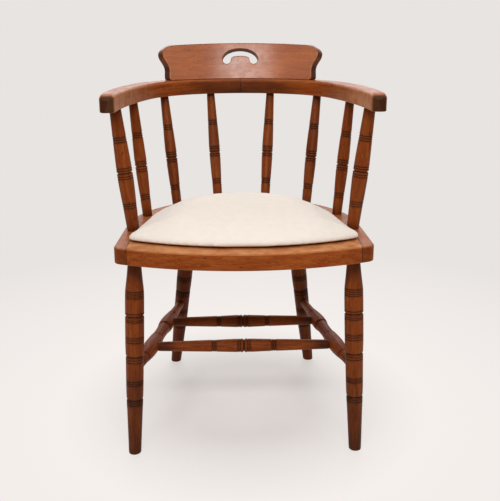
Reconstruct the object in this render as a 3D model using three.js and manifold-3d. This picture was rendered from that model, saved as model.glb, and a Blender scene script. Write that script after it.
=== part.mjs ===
// Captains chair: turned legs and spindles, a bent arm bow in two halves, a curved crest rail
// with a hand hole, and a padded seat dropped into a frame of four rails.
// Millimetres, +Z up. The front of the chair faces -Y and the chair is symmetric about X = 0.
// Y is measured from the front feet; the last lines move the origin under the middle of the chair.
import * as THREE from "three";
import { mergeVertices } from "three/addons/utils/BufferGeometryUtils.js";
import Module from "manifold-3d";

const wasm = await Module();
wasm.setup();

const { degToRad, lerp } = THREE.MathUtils;

// Clearances
const gap = 0.3; // between two wooden pieces that meet
const overrun = 8; // how far a cut runs past the wood it cuts

// Seat frame: a round back, straight sides and a bowed front
const seatTop = 442; // height of the frame's top face
const railThickness = 32;
const railEdgeRound = 3.5;
const seatArcY = 150; // centre of the round back, behind the front feet
const seatBackRadius = 243;
const seatHalfWidth = 246; // at the front corners
const seatFrontY = -71; // foremost point of the bowed front
const seatFrontRadius = 612;
const seatCornerRadius = 13;
const sideRailEnd = 25.5; // the front rail lies between the ends of the side rails
const frontJointY = 40; // and reaches back to this line
const backJointAngle = degToRad(56); // of the back rail's ends, from straight back

// Seat pad on its board, in a rebate of the frame
const padArcShift = 8; // its round back's centre lies behind the frame's
const backMargin = 47; // of wood round the pad
const sideMargin = 26;
const frontMargin = 48;
const padFrontRadius = 500;
const padCornerRadius = 13;
const padCrown = 40; // height of the pad's middle above the frame
const padMiddleY = 165; // the crown's highest place
const padFitGap = 1.2; // between the pad and the wall of the rebate
const rebateDepth = 10;
const ledgeWidth = 14;
const boardThickness = 8;

// Legs, by where their axes meet the frame and how far out the feet stand from there
const frontLegInset = 34.5; // from the frame's side
const frontLegHeadY = 12;
const frontLegSplay = [14.5, -12];
const rearLegInset = 18.9; // from the frame's round back
const rearLegAngle = degToRad(33); // from straight back
const rearLegSplay = [51.6, 82];
const legRadius = 18.6; // at its thickest
const legTenonLength = 18;
const legTenonRadius = 9.5;

// Stretchers
const stretcherHeight = 177; // of all four axes
const sideStretcherRadius = 16.8; // of the bulb that takes the front cross stretcher
const crossStretcherRadius = 14.5; // at its middle
const crossTenonEnd = 5; // from the side stretcher's axis
const frontCrossShare = 0.302; // place along the side stretcher
const rearCrossShare = 0.655;

// Arm bow: one arc round the back, then a long flat arc along each arm
const armUnderside = 690;
const armThickness = 34;
const armEdgeRound = 8;
const bowArcY = 252;
const bowBackRadius = 224; // of the line that the widths are centred on
const bowBackSweep = degToRad(76);
const bowSideRadius = 1040;
const bowSideSweep = degToRad(17.25);
const bowBackWidth = 50;
const bowTipWidth = 27.5;
const bowTipLength = 18; // of the rounding at the hand end

// Spindles: the front post of each arm is thicker
const postRadius = 15.6; // at the groove in the middle
const spindleRadius = 13;
const postFootY = 103;
const postFootInset = 20; // from the frame's edge
const spindleFootInset = 21;
const postHeadInset = 2; // from the bow's centre line
const spindleHeadInset = 2.6;
const spindleTenonLength = 20;
const spindleTenonRadius = 7;

// Crest rail: a curved plank that leans back
const crestRadiusExtra = 16; // its front face is flatter than the bow's line
const crestSetIn = 19; // of its front face at the middle, from the bow's line
const crestThickness = 23; // measured level
const crestLean = degToRad(18);
const crestHeight = 84;
const crestFootHalf = 181; // half its length along the front face
const crestTipHalf = 197;
const crestEndDrop = 6; // the top edge is lower at its ends
const holeHeight = 44; // of the centres of the hand hole's lobes
const holeHalfWidth = 43;
const holeRise = 28.5;
const tongueHalfWidth = 21;
const tongueRise = 11;

// Dowels and screws
const dowelRadius = 4;
const dowelLength = 36;
const cornerDowelLength = 26;
const cornerDowelY = -9;
const cornerDowelSpacing = 14;
const screwRadius = 2.2;
const screwHeadRadius = 4.4;
const screwHeadLength = 3.5;
const crestScrewLength = 45;
const crestScrewSink = 8;
const seatScrewLength = 20;
const seatScrewSink = 9;
const frontScrewShare = 0.5; // place along the front, from the middle to the pad's side
const roundScrewShares = [0.04, 0.33]; // places of the others, round the back from one side

// Facets
const turnedSides = 12;
const spindleSides = 10;
const screwSides = 8;
const outlineBackSteps = 28; // round the back of the seat
const bowSteps = 18; // along each half of the bow
const crestSteps = 22;

const looks = {
  wood: { color: 0x7b3d20, roughness: 0.4, metalness: 0 },
  fabric: { color: 0xf2e8da, roughness: 0.95, metalness: 0 },
  plywood: { color: 0xc4a173, roughness: 0.75, metalness: 0 },
  beech: { color: 0xc9a070, roughness: 0.7, metalness: 0 },
  steel: { color: 0x8f8d88, roughness: 0.35, metalness: 1 },
};

const railUnderside = seatTop - railThickness;
const ledgeTop = seatTop - rebateDepth;
const boardTop = ledgeTop + gap + boardThickness;
const frontJointX = seatHalfWidth - sideRailEnd;
const padBackRadius = seatBackRadius - backMargin;
const armTop = armUnderside + armThickness;
const crestFoot = armTop + gap;
const crestFrontRadius = bowBackRadius + crestRadiusExtra;
const crestFrontY = bowArcY + bowBackRadius - crestSetIn;

// A closed solid from a geometry, moved by a matrix
function solid(geometry, place = new THREE.Matrix4()) {
  const bare = geometry.clone().applyMatrix4(place);
  bare.deleteAttribute("normal");
  bare.deleteAttribute("uv");
  const merged = mergeVertices(bare, gap / 1000);
  return new wasm.Manifold(
    new wasm.Mesh({
      numProp: 3,
      vertProperties: new Float32Array(merged.getAttribute("position").array),
      triVerts: new Uint32Array(merged.index.array),
    }),
  );
}

function geometryOf(body) {
  const mesh = body.getMesh();
  const geometry = new THREE.BufferGeometry();
  geometry.setAttribute("position", new THREE.BufferAttribute(new Float32Array(mesh.vertProperties), 3));
  geometry.setIndex(new THREE.BufferAttribute(new Uint32Array(mesh.triVerts), 1));
  geometry.computeVertexNormals();
  return geometry;
}

function piece(name, body, look) {
  const mesh = new THREE.Mesh(geometryOf(body), new THREE.MeshStandardMaterial(looks[look]));
  mesh.name = name;
  return mesh;
}

function cutBy(body, cutters) {
  return cutters.reduce((left, cutter) => left.subtract(cutter), body);
}

// A side is 1 or -1. Left and right are those of someone who looks at the chair's front.
const bothSides = [-1, 1];

function onSide(side, [x, y, z]) {
  return new THREE.Vector3(side * x, y, z);
}

function bySide(side) {
  return side < 0 ? "left" : "right";
}

// Turns a geometry's own Y axis onto the line from one point to another
function alongLine(from, to) {
  const direction = to.clone().sub(from).normalize();
  const turn = new THREE.Quaternion().setFromUnitVectors(new THREE.Vector3(0, 1, 0), direction);
  return new THREE.Matrix4().compose(from, turn, new THREE.Vector3(1, 1, 1));
}

// A turned piece: a profile of [place along the axis, radius] on the line between two points.
// With a clearance it is the socket that the piece fits.
function turnedSolid({ profile, sides, from, to }, clearance = 0) {
  const points = profile.map(([along, radius]) => new THREE.Vector2(radius + clearance, along));
  points[0].y -= clearance;
  points[points.length - 1].y += clearance;
  const first = new THREE.Vector2(0, points[0].y);
  const last = new THREE.Vector2(0, points[points.length - 1].y);
  return solid(new THREE.LatheGeometry([first, ...points, last], sides), alongLine(from, to));
}

function socket(turning) {
  return turnedSolid(turning, gap);
}

// The mesh of a turned piece keeps its own axis, and is placed by position and rotation
function turnedPiece(name, turning, body = turnedSolid(turning), look = "wood") {
  const place = alongLine(turning.from, turning.to);
  const mesh = piece(name, body, look);
  mesh.geometry.applyMatrix4(place.clone().invert());
  mesh.applyMatrix4(place);
  return mesh;
}

function fromShares(shares, length, radius) {
  return shares.map(([along, out]) => [along * length, out * radius]);
}

function block(low, high) {
  const size = high.clone().sub(low);
  const centre = low.clone().add(high).multiplyScalar(0.5);
  const place = new THREE.Matrix4().makeTranslation(centre.x, centre.y, centre.z);
  return solid(new THREE.BoxGeometry(size.x, size.y, size.z), place);
}

// Legs. Shares of the length from the floor to the frame, and of the largest radius.
const legShares = [
  [0.0, 0.63],
  [0.012, 0.68],
  [0.225, 0.835],
  [0.229, 0.88],
  [0.272, 0.88],
  [0.276, 0.79],
  [0.284, 0.88],
  [0.334, 0.925],
  [0.363, 0.925],
  [0.455, 0.95],
  [0.496, 0.95],
  [0.507, 0.83],
  [0.518, 0.95],
  [0.56, 1.0],
  [0.591, 1.0],
  [0.673, 1.0],
  [0.703, 1.0],
  [0.717, 0.82],
  [0.73, 0.98],
  [0.797, 0.99],
  [0.836, 0.98],
  [0.885, 0.87],
  [0.94, 0.75],
  [1.0, 0.675],
];

// A place on the frame, at an angle from straight back and inside its round back
function roundBack(angle, inset) {
  const out = seatBackRadius - inset;
  return [out * Math.sin(angle), seatArcY + out * Math.cos(angle)];
}

function legLine([x, y], [splayX, splayY]) {
  return { foot: [x + splayX, y + splayY, 0], head: [x, y, railUnderside] };
}

const legEnds = {
  front: legLine([seatHalfWidth - frontLegInset, frontLegHeadY], frontLegSplay),
  rear: legLine(roundBack(rearLegAngle, rearLegInset), rearLegSplay),
};

function legTurning(end, side) {
  const from = onSide(side, legEnds[end].foot);
  const to = onSide(side, legEnds[end].head);
  const length = to.distanceTo(from);
  const profile = [
    [-overrun, legShares[0][1] * legRadius],
    ...fromShares(legShares, length, legRadius).slice(1),
    [length + legTenonLength, legTenonRadius],
  ];
  return { profile, sides: turnedSides, from, to };
}

// Where a leg's axis passes the stretchers' height
function legAtStretcher(end, side) {
  const share = stretcherHeight / railUnderside;
  return onSide(side, legEnds[end].foot).lerp(onSide(side, legEnds[end].head), share);
}

function leg(end, side) {
  const turning = legTurning(end, side);
  const reach = new THREE.Vector3(2 * legRadius, 2 * legRadius, 0);
  const underFloor = block(
    turning.from.clone().sub(reach).setZ(-3 * overrun),
    turning.from.clone().add(reach),
  );
  const body = cutBy(turnedSolid(turning), [underFloor, socket(sideStretcherTurning(side))]);
  return turnedPiece(`leg_${end}_${bySide(side)}`, turning, body);
}

// Side stretchers, from front leg to rear leg: two bulbs with a waist between them
const sideStretcherShares = [
  [0.0, 0.42],
  [0.04, 0.57],
  [0.1, 0.585],
  [0.15, 0.67],
  [0.2, 0.84],
  [0.25, 0.965],
  [0.3, 1.0],
  [0.35, 0.96],
  [0.41, 0.87],
  [0.42, 0.79],
  [0.47, 0.76],
  [0.52, 0.78],
  [0.56, 0.82],
  [0.57, 0.92],
  [0.61, 0.98],
  [0.65, 0.97],
  [0.7, 0.89],
  [0.75, 0.76],
  [0.8, 0.63],
  [0.86, 0.575],
  [0.96, 0.56],
  [1.0, 0.42],
];

function sideStretcherTurning(side) {
  const from = legAtStretcher("front", side);
  const to = legAtStretcher("rear", side);
  const profile = fromShares(sideStretcherShares, to.distanceTo(from), sideStretcherRadius);
  return { profile, sides: turnedSides, from, to };
}

// Cross stretchers: half the outline, from the left end to the middle
const crossStretcherShares = [
  [0.0, 0.48],
  [0.04, 0.7],
  [0.15, 0.76],
  [0.31, 0.86],
  [0.32, 0.8],
  [0.345, 0.8],
  [0.355, 0.88],
  [0.48, 1.0],
  [0.487, 0.93],
  [0.5, 0.8],
];

function bothHalves(shares) {
  const otherHalf = shares.slice(0, -1).reverse();
  return [...shares, ...otherHalf.map(([along, out]) => [1 - along, out])];
}

function crossStretcherTurning(share) {
  const joint = legAtStretcher("front", 1).lerp(legAtStretcher("rear", 1), share);
  joint.x -= crossTenonEnd;
  const from = joint.clone().setX(-joint.x);
  const profile = fromShares(bothHalves(crossStretcherShares), 2 * joint.x, crossStretcherRadius);
  return { profile, sides: turnedSides, from, to: joint };
}

function sideStretcher(side) {
  const turning = sideStretcherTurning(side);
  const cutters = [frontCrossShare, rearCrossShare].map((share) => socket(crossStretcherTurning(share)));
  return turnedPiece(`side_stretcher_${bySide(side)}`, turning, cutBy(turnedSolid(turning), cutters));
}

function crossStretcher(end, share) {
  return turnedPiece(`cross_stretcher_${end}`, crossStretcherTurning(share));
}

// Centre line of the bow's right half, from the back joint to the hand end
const bowBackLength = bowBackRadius * bowBackSweep;
const bowLength = bowBackLength + bowSideRadius * bowSideSweep;

function bowPoint(along, offset = 0) {
  const joinAngle = Math.PI / 2 - bowBackSweep;
  const onBack = along <= bowBackLength;
  const radius = onBack ? bowBackRadius : bowSideRadius;
  const past = Math.max(along - bowBackLength, 0) / bowSideRadius;
  const angle = onBack ? Math.PI / 2 - along / bowBackRadius : joinAngle - past;
  const join = new THREE.Vector2(Math.cos(joinAngle), Math.sin(joinAngle));
  const centre = new THREE.Vector2(0, bowArcY).addScaledVector(join, bowBackRadius - radius);
  const out = new THREE.Vector2(Math.cos(angle), Math.sin(angle));
  return centre.addScaledVector(out, radius + offset);
}

// The bow narrows slowly at first, then faster towards the hand end
function bowHalfWidth(along) {
  return lerp(bowBackWidth, bowTipWidth, (along / bowLength) ** 2) / 2;
}

// The hand end's rounding, from the inner edge to the outer one:
// shares of its length and of the half width
const bowTipShares = [
  [0.5, -1.0],
  [0.76, -0.92],
  [0.93, -0.7],
  [1.0, -0.36],
  [1.0, 0.3],
  [0.92, 0.68],
  [0.73, 0.92],
  [0.45, 1.0],
];

// The outline starts a little past the back joint, where the half is cut square
function bowOutline() {
  const start = -bowHalfWidth(0);
  const tipStart = bowLength - bowTipLength;
  const places = Array.from({ length: bowSteps + 1 }, (_, i) => lerp(start, tipStart, i / bowSteps));
  const inner = places.map((along) => bowPoint(along, -bowHalfWidth(along)));
  const outer = places.map((along) => bowPoint(along, bowHalfWidth(along))).reverse();
  const tip = bowTipShares.map(([forward, across]) => {
    const along = tipStart + forward * bowTipLength;
    return bowPoint(along, across * bowHalfWidth(along));
  });
  return new THREE.Shape([...inner, ...tip, ...outer]);
}

function arcPoints(centre, radius, from, to, steps) {
  const angles = Array.from({ length: steps + 1 }, (_, i) => lerp(from, to, i / steps));
  return angles.map((angle) => {
    const out = new THREE.Vector2(Math.cos(angle), Math.sin(angle));
    return centre.clone().addScaledVector(out, radius);
  });
}

// Outline of the frame, or of the pad in it, drawn outwards or inwards by an offset:
// a back arc, sides that touch it, a bowed front and two round corners
function seatOutline({ arcY, backRadius, halfWidth, frontY, frontRadius, cornerRadius }, offset = 0) {
  const round = backRadius + offset;
  const half = halfWidth + offset;
  const front = frontRadius + offset;
  const frontCentre = new THREE.Vector2(0, frontY + frontRadius);
  const frontAt = (x) => frontCentre.y - Math.sqrt(front ** 2 - x ** 2);
  const sideEnd = new THREE.Vector2(half, frontAt(half) + cornerRadius);
  const backCentre = new THREE.Vector2(0, arcY);
  const toEnd = sideEnd.clone().sub(backCentre);
  const tangent = Math.atan2(toEnd.y, toEnd.x) + Math.acos(round / toEnd.length());
  const back = arcPoints(backCentre, round, tangent, Math.PI - tangent, outlineBackSteps);
  const frontHalf = half - cornerRadius;
  const frontEnd = new THREE.Vector2(frontHalf, frontAt(frontHalf));
  const corner = new THREE.Vector2(half, frontAt(half));
  const rightCorner = new THREE.QuadraticBezierCurve(frontEnd, corner, sideEnd).getPoints(3);
  const leftCorner = rightCorner.map(({ x, y }) => new THREE.Vector2(-x, y)).reverse();
  const sweep = Math.asin(frontHalf / front);
  const down = -Math.PI / 2;
  const bowed = arcPoints(frontCentre, front, down - sweep, down + sweep, 12).slice(1, -1);
  return [...back, ...leftCorner, ...bowed, ...rightCorner];
}

const frameEdge = {
  arcY: seatArcY,
  backRadius: seatBackRadius,
  halfWidth: seatHalfWidth,
  frontY: seatFrontY,
  frontRadius: seatFrontRadius,
  cornerRadius: seatCornerRadius,
};
const padEdge = {
  arcY: seatArcY + padArcShift,
  backRadius: padBackRadius,
  halfWidth: seatHalfWidth - sideMargin,
  frontY: seatFrontY + frontMargin,
  frontRadius: padFrontRadius,
  cornerRadius: padCornerRadius,
};

// How far out the frame's side is, between its front corner and its round back
function frameSideAt(y) {
  const outline = seatOutline(frameEdge);
  const [front, back] = [outline[outline.length - 1], outline[0]];
  return lerp(front.x, back.x, (y - front.y) / (back.y - front.y));
}

function slab(outline, low, high) {
  const options = { depth: high - low, bevelEnabled: false };
  const geometry = new THREE.ExtrudeGeometry(new THREE.Shape(outline), options);
  return solid(geometry, new THREE.Matrix4().makeTranslation(0, 0, low));
}

// A slab with its edges rounded above and below
function roundedSlab(shape, low, high, round) {
  const geometry = new THREE.ExtrudeGeometry(shape, {
    depth: high - low - 2 * round,
    bevelThickness: round,
    bevelSize: round,
    bevelOffset: -round,
    bevelSegments: 2,
  });
  return solid(geometry, new THREE.Matrix4().makeTranslation(0, 0, low + round));
}

// Spindles, from the frame up to the bow, in shares of the length and of the largest radius
const spindleShares = [
  [0.0, 0.79],
  [0.17, 0.88],
  [0.175, 0.83],
  [0.2, 0.83],
  [0.205, 0.9],
  [0.42, 1.0],
  [0.45, 0.97],
  [0.46, 0.78],
  [0.47, 0.97],
  [0.5, 1.0],
  [0.715, 0.89],
  [0.72, 0.83],
  [0.745, 0.83],
  [0.75, 0.88],
  [1.0, 0.72],
];

function footRoundBack(angle) {
  return [...roundBack(angle, spindleFootInset), seatTop];
}

// A spindle's head lies a little inside the bow's centre line
function headOnBow(share, inset) {
  const { x, y } = bowPoint(share * bowLength, -inset);
  return [x, y, armUnderside];
}

const spindles = {
  arm_post: {
    radius: postRadius,
    foot: [frameSideAt(postFootY) - postFootInset, postFootY, seatTop],
    head: headOnBow(0.859, postHeadInset),
  },
  spindle_side: {
    radius: spindleRadius,
    foot: footRoundBack(degToRad(70.5)),
    head: headOnBow(0.618, spindleHeadInset),
  },
  spindle_corner: {
    radius: spindleRadius,
    foot: footRoundBack(degToRad(42.6)),
    head: headOnBow(0.346, spindleHeadInset),
  },
  spindle_back: {
    radius: spindleRadius,
    foot: footRoundBack(degToRad(14.7)),
    head: headOnBow(0.1234, spindleHeadInset),
  },
};

function spindleTurning({ radius, foot, head }, side) {
  const from = onSide(side, foot);
  const to = onSide(side, head);
  const length = to.distanceTo(from);
  const profile = [
    [-spindleTenonLength, spindleTenonRadius],
    ...fromShares(spindleShares, length, radius),
    [length + spindleTenonLength, spindleTenonRadius],
  ];
  return { profile, sides: spindleSides, from, to };
}

function spindle(name, side) {
  return turnedPiece(`${name}_${bySide(side)}`, spindleTurning(spindles[name], side));
}

function spindleSockets(side) {
  return Object.values(spindles).map((entry) => socket(spindleTurning(entry, side)));
}

// A dowel about its middle
function dowel(length, centre, direction) {
  const from = centre.clone().addScaledVector(direction, -length / 2);
  const profile = [
    [0, dowelRadius],
    [length, dowelRadius],
  ];
  return { profile, sides: screwSides, from, to: centre };
}

// Two dowels, one above the other, in front of each front leg, and two across each back joint
function railDowels(side) {
  const middle = seatTop - railThickness / 2;
  const across = new THREE.Vector3(1, 0, 0);
  const front = [-0.5, 0.5].map((level) => {
    const height = middle + level * cornerDowelSpacing;
    const centre = onSide(side, [frontJointX, cornerDowelY, height]);
    return dowel(cornerDowelLength, centre, across);
  });
  const tangent = onSide(side, [Math.cos(backJointAngle), -Math.sin(backJointAngle), 0]);
  const back = [0.25, 0.75].map((share) => {
    const out = lerp(padBackRadius, seatBackRadius, share);
    const [x, y] = [out * Math.sin(backJointAngle), seatArcY + out * Math.cos(backJointAngle)];
    return dowel(dowelLength, onSide(side, [x, y, middle]), tangent);
  });
  return [...front, ...back];
}

// A screw that points straight up, with its head below
function screw([x, y, z], length) {
  const profile = [
    [0, screwHeadRadius],
    [screwHeadLength / 3, screwHeadRadius],
    [screwHeadLength, screwRadius],
    [length, screwRadius],
  ];
  const from = new THREE.Vector3(x, y, z);
  return { profile, sides: screwSides, from, to: from.clone().setZ(z + length) };
}

// The screw's hole is open downwards, with a wider bore for the driver
function screwHole(turning) {
  const [head, ...rest] = turning.profile;
  const length = rest[rest.length - 1][0];
  return socket({ ...turning, profile: [[head[0] - 2 * length, head[1]], ...rest] });
}

// Three screws a side hold the board down, through the middle of the ledge
function seatScrews(side) {
  const ledge = seatOutline(padEdge, -ledgeWidth / 2);
  const { halfWidth, frontY, frontRadius } = padEdge;
  const frontX = frontScrewShare * halfWidth;
  const frontReach = Math.sqrt((frontRadius - ledgeWidth / 2) ** 2 - frontX ** 2);
  const front = { x: frontX, y: frontY + frontRadius - frontReach };
  const round = roundScrewShares.map((share) => ledge[Math.round(share * outlineBackSteps)]);
  const height = railUnderside + seatScrewSink;
  return [front, ...round].map(({ x, y }) => screw([side * x, y, height], seatScrewLength));
}

// The four rails are cut from one blank, with every hole and the rebate in it
function rails() {
  const [below, above] = [railUnderside - overrun, seatTop + overrun];
  const sockets = bothSides.flatMap((side) => [
    socket(legTurning("front", side)),
    socket(legTurning("rear", side)),
    ...spindleSockets(side),
    ...railDowels(side).map(socket),
    ...seatScrews(side).map(screwHole),
  ]);
  const shape = new THREE.Shape(seatOutline(frameEdge));
  const blank = roundedSlab(shape, railUnderside, seatTop, railEdgeRound);
  const opening = slab(seatOutline(padEdge, padFitGap - ledgeWidth), below, above);
  const rebate = slab(seatOutline(padEdge, padFitGap), ledgeTop, above);
  const frame = cutBy(blank, [opening, rebate, ...sockets]);

  const front = seatFrontY - overrun;
  const cornerBlock = (clearance) => {
    const half = frontJointX + clearance;
    const back = frontJointY + clearance;
    return block(new THREE.Vector3(-half, front, below), new THREE.Vector3(half, back, above));
  };
  const wedge = (clearance) => {
    const tip = new THREE.Vector2(0, seatArcY - clearance / Math.sin(backJointAngle));
    const reach = 2 * seatBackRadius;
    const out = new THREE.Vector2(Math.sin(backJointAngle), Math.cos(backJointAngle));
    const right = tip.clone().addScaledVector(out, reach);
    const left = right.clone().setX(-right.x);
    const far = new THREE.Vector2(0, tip.y + 2 * reach);
    return slab([tip, right, far, left], below, above);
  };
  const halfBlock = (side) => {
    const wide = side * (seatHalfWidth + overrun);
    const back = seatArcY + seatBackRadius + overrun;
    const low = new THREE.Vector3(Math.min(0, wide), front, below);
    return block(low, new THREE.Vector3(Math.max(0, wide), back, above));
  };
  const sides = frame.subtract(cornerBlock(gap / 2)).subtract(wedge(gap / 2));
  return [
    piece("seat_front_rail", frame.intersect(cornerBlock(-gap / 2)), "wood"),
    piece("seat_side_rail_left", sides.intersect(halfBlock(-1)), "wood"),
    piece("seat_side_rail_right", sides.intersect(halfBlock(1)), "wood"),
    piece("seat_back_rail", frame.intersect(wedge(-gap / 2)), "wood"),
  ];
}

function seatBoard() {
  const blank = slab(seatOutline(padEdge, -padFitGap), ledgeTop + gap, boardTop);
  const holes = bothSides.flatMap((side) => seatScrews(side).map(screwHole));
  return piece("seat_board", cutBy(blank, holes), "plywood");
}

// Pad: rings of its outline, drawn in at the foot, fullest just above it, then domed.
// Shares of the height, and of the way in from the outline to the middle.
const padRingShares = [
  [0.0, 0.018],
  [0.12, 0.0],
  [0.3, 0.008],
  [0.47, 0.04],
  [0.62, 0.11],
  [0.76, 0.23],
  [0.87, 0.4],
  [0.95, 0.62],
  [0.99, 0.83],
];

function padGeometry() {
  const rim = seatOutline(padEdge);
  const middle = new THREE.Vector2(0, padMiddleY);
  const base = boardTop + gap;
  const crown = seatTop + padCrown;
  const rings = padRingShares.map(([up, inwards]) =>
    rim.map((point) => {
      const { x, y } = point.clone().lerp(middle, inwards);
      return [x, y, lerp(base, crown, up)];
    }),
  );
  const points = [[middle.x, middle.y, base], ...rings.flat(), [middle.x, middle.y, crown]];
  const at = (row, step) => 1 + row * rim.length + (step % rim.length);
  const lastRow = rings.length - 1;
  const faces = [];
  for (let i = 0; i < rim.length; i += 1) {
    faces.push(0, at(0, i + 1), at(0, i));
    faces.push(points.length - 1, at(lastRow, i), at(lastRow, i + 1));
    for (let row = 0; row < lastRow; row += 1) {
      faces.push(at(row, i), at(row, i + 1), at(row + 1, i + 1));
      faces.push(at(row, i), at(row + 1, i + 1), at(row + 1, i));
    }
  }
  const geometry = new THREE.BufferGeometry();
  geometry.setAttribute("position", new THREE.Float32BufferAttribute(points.flat(), 3));
  geometry.setIndex(faces);
  return geometry;
}

// A point of the crest rail: along its front face, up from its foot, and into its thickness
function crestPoint(along, up, depth) {
  const angle = along / crestFrontRadius;
  const radius = crestFrontRadius + depth;
  const centreY = crestFrontY - crestFrontRadius;
  return new THREE.Vector3(
    radius * Math.sin(angle),
    centreY + radius * Math.cos(angle) + up * Math.tan(crestLean),
    crestFoot + up,
  );
}

// Outline of the crest rail's end: shares of the height, and of the way from foot to tip
const crestEndShares = [
  [0.0, 0.0],
  [0.28, 0.0],
  [0.4, 0.08],
  [0.53, 0.37],
  [0.67, 0.81],
  [0.8, 1.0],
  [0.885, 0.8],
  [0.96, 0.3],
  [1.0, -0.35],
];

function crestBlank() {
  const rows = crestEndShares.length - 1;
  const geometry = new THREE.BoxGeometry(2, 1, rows, crestSteps, 1, rows);
  const places = geometry.getAttribute("position");
  for (let i = 0; i < places.count; i += 1) {
    const [heightShare, outShare] = crestEndShares[Math.round(places.getZ(i) + rows / 2)];
    const across = places.getX(i);
    const along = across * lerp(crestFootHalf, crestTipHalf, outShare);
    const up = heightShare * (crestHeight - crestEndDrop * across ** 2);
    const depth = (places.getY(i) + 0.5) * crestThickness;
    places.setXYZ(i, ...crestPoint(along, up, depth).toArray());
  }
  return solid(geometry);
}

// The hand hole is cut square to the leaning face: an arch over a rounded tongue
function handHole() {
  const lobeRadius = (holeHalfWidth - tongueHalfWidth) / 2;
  const lobeX = holeHalfWidth - lobeRadius;
  const shape = new THREE.Shape();
  shape.absellipse(0, holeHeight, holeHalfWidth, holeRise, 0, Math.PI, false);
  shape.absarc(-lobeX, holeHeight, lobeRadius, Math.PI, 2 * Math.PI, false);
  shape.absellipse(0, holeHeight, tongueHalfWidth, tongueRise, Math.PI, 0, true);
  shape.absarc(lobeX, holeHeight, lobeRadius, Math.PI, 2 * Math.PI, false);
  const geometry = new THREE.ExtrudeGeometry(shape, {
    depth: 3 * crestThickness,
    bevelEnabled: false,
    curveSegments: 6,
  });
  geometry.translate(0, 0, -2 * crestThickness);
  const place = new THREE.Matrix4().makeBasis(
    new THREE.Vector3(1, 0, 0),
    new THREE.Vector3(0, Math.tan(crestLean), 1),
    new THREE.Vector3(0, -Math.cos(crestLean), Math.sin(crestLean)),
  );
  return solid(geometry, place.setPosition(0, crestFrontY, crestFoot));
}

// Two screws a side go up through the bow into the crest rail
function crestScrews(side) {
  const height = armUnderside + crestScrewSink;
  return [0.24, 0.74].map((share) => {
    const { x, y } = crestPoint(share * crestFootHalf, 0, 0.62 * crestThickness);
    return screw([side * x, y, height], crestScrewLength);
  });
}

function bowDowels() {
  const across = new THREE.Vector3(1, 0, 0);
  return [-0.22, 0.22].map((share) => {
    const y = bowArcY + bowBackRadius + share * bowBackWidth;
    const centre = new THREE.Vector3(0, y, armUnderside + armThickness / 2);
    return dowel(dowelLength, centre, across);
  });
}

// The same solid on the other side of X = 0, with its faces still pointing outwards
function mirrorBody(body) {
  const geometry = geometryOf(body);
  geometry.applyMatrix4(new THREE.Matrix4().makeScale(-1, 1, 1));
  geometry.index.array.reverse();
  return solid(geometry);
}

// An arm is one half of the bow, square at its underside and rounded above
function arm(side) {
  const blank = roundedSlab(bowOutline(), armUnderside - armEdgeRound, armTop, armEdgeRound);
  const wide = 2 * bowBackRadius;
  const right = block(
    new THREE.Vector3(gap / 2, -wide, armUnderside),
    new THREE.Vector3(wide, 2 * wide, armTop + overrun),
  );
  const cutters = [...spindleSockets(1), ...bowDowels().map(socket), ...crestScrews(1).map(screwHole)];
  const body = cutBy(blank.intersect(right), cutters);
  return piece(`arm_${bySide(side)}`, side < 0 ? mirrorBody(body) : body, "wood");
}

// Like pieces are numbered from the front, or from the chair's middle
function numbered(name, turnings, look) {
  return turnings.map((turning, i) => turnedPiece(`${name}_${i + 1}`, turning, undefined, look));
}

const understructure = new THREE.Group();
for (const side of bothSides) {
  understructure.add(leg("front", side), leg("rear", side), sideStretcher(side));
}
understructure.add(crossStretcher("front", frontCrossShare), crossStretcher("rear", rearCrossShare));

const seat = new THREE.Group();
seat.add(...rails(), seatBoard(), piece("seat_pad", solid(padGeometry()), "fabric"));
for (const side of bothSides) {
  seat.add(...numbered(`seat_dowel_${bySide(side)}`, railDowels(side), "beech"));
  seat.add(...numbered(`seat_screw_${bySide(side)}`, seatScrews(side), "steel"));
}

const back = new THREE.Group();
for (const side of bothSides) {
  back.add(...Object.keys(spindles).map((name) => spindle(name, side)), arm(side));
  back.add(...numbered(`crest_screw_${bySide(side)}`, crestScrews(side), "steel"));
}
const crestHoles = bothSides.flatMap((side) => crestScrews(side).map(screwHole));
back.add(piece("crest_rail", cutBy(crestBlank(), [handHole(), ...crestHoles]), "wood"));
back.add(...numbered("arm_dowel", bowDowels(), "beech"));

const chair = new THREE.Group();
chair.name = "captains_chair";
chair.add(understructure, seat, back);
const bounds = new THREE.Box3().setFromObject(chair, true);
chair.position.y = -(bounds.min.y + bounds.max.y) / 2;

export default chair;
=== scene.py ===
"""Captains chair: turned legs and spindles, a bent arm bow, a crest rail and a padded seat."""

import math

import bmesh
import bpy
import numpy as np
from bpy.props import FloatProperty, FloatVectorProperty, IntProperty, PointerProperty
from mathutils import Matrix, Vector


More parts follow.
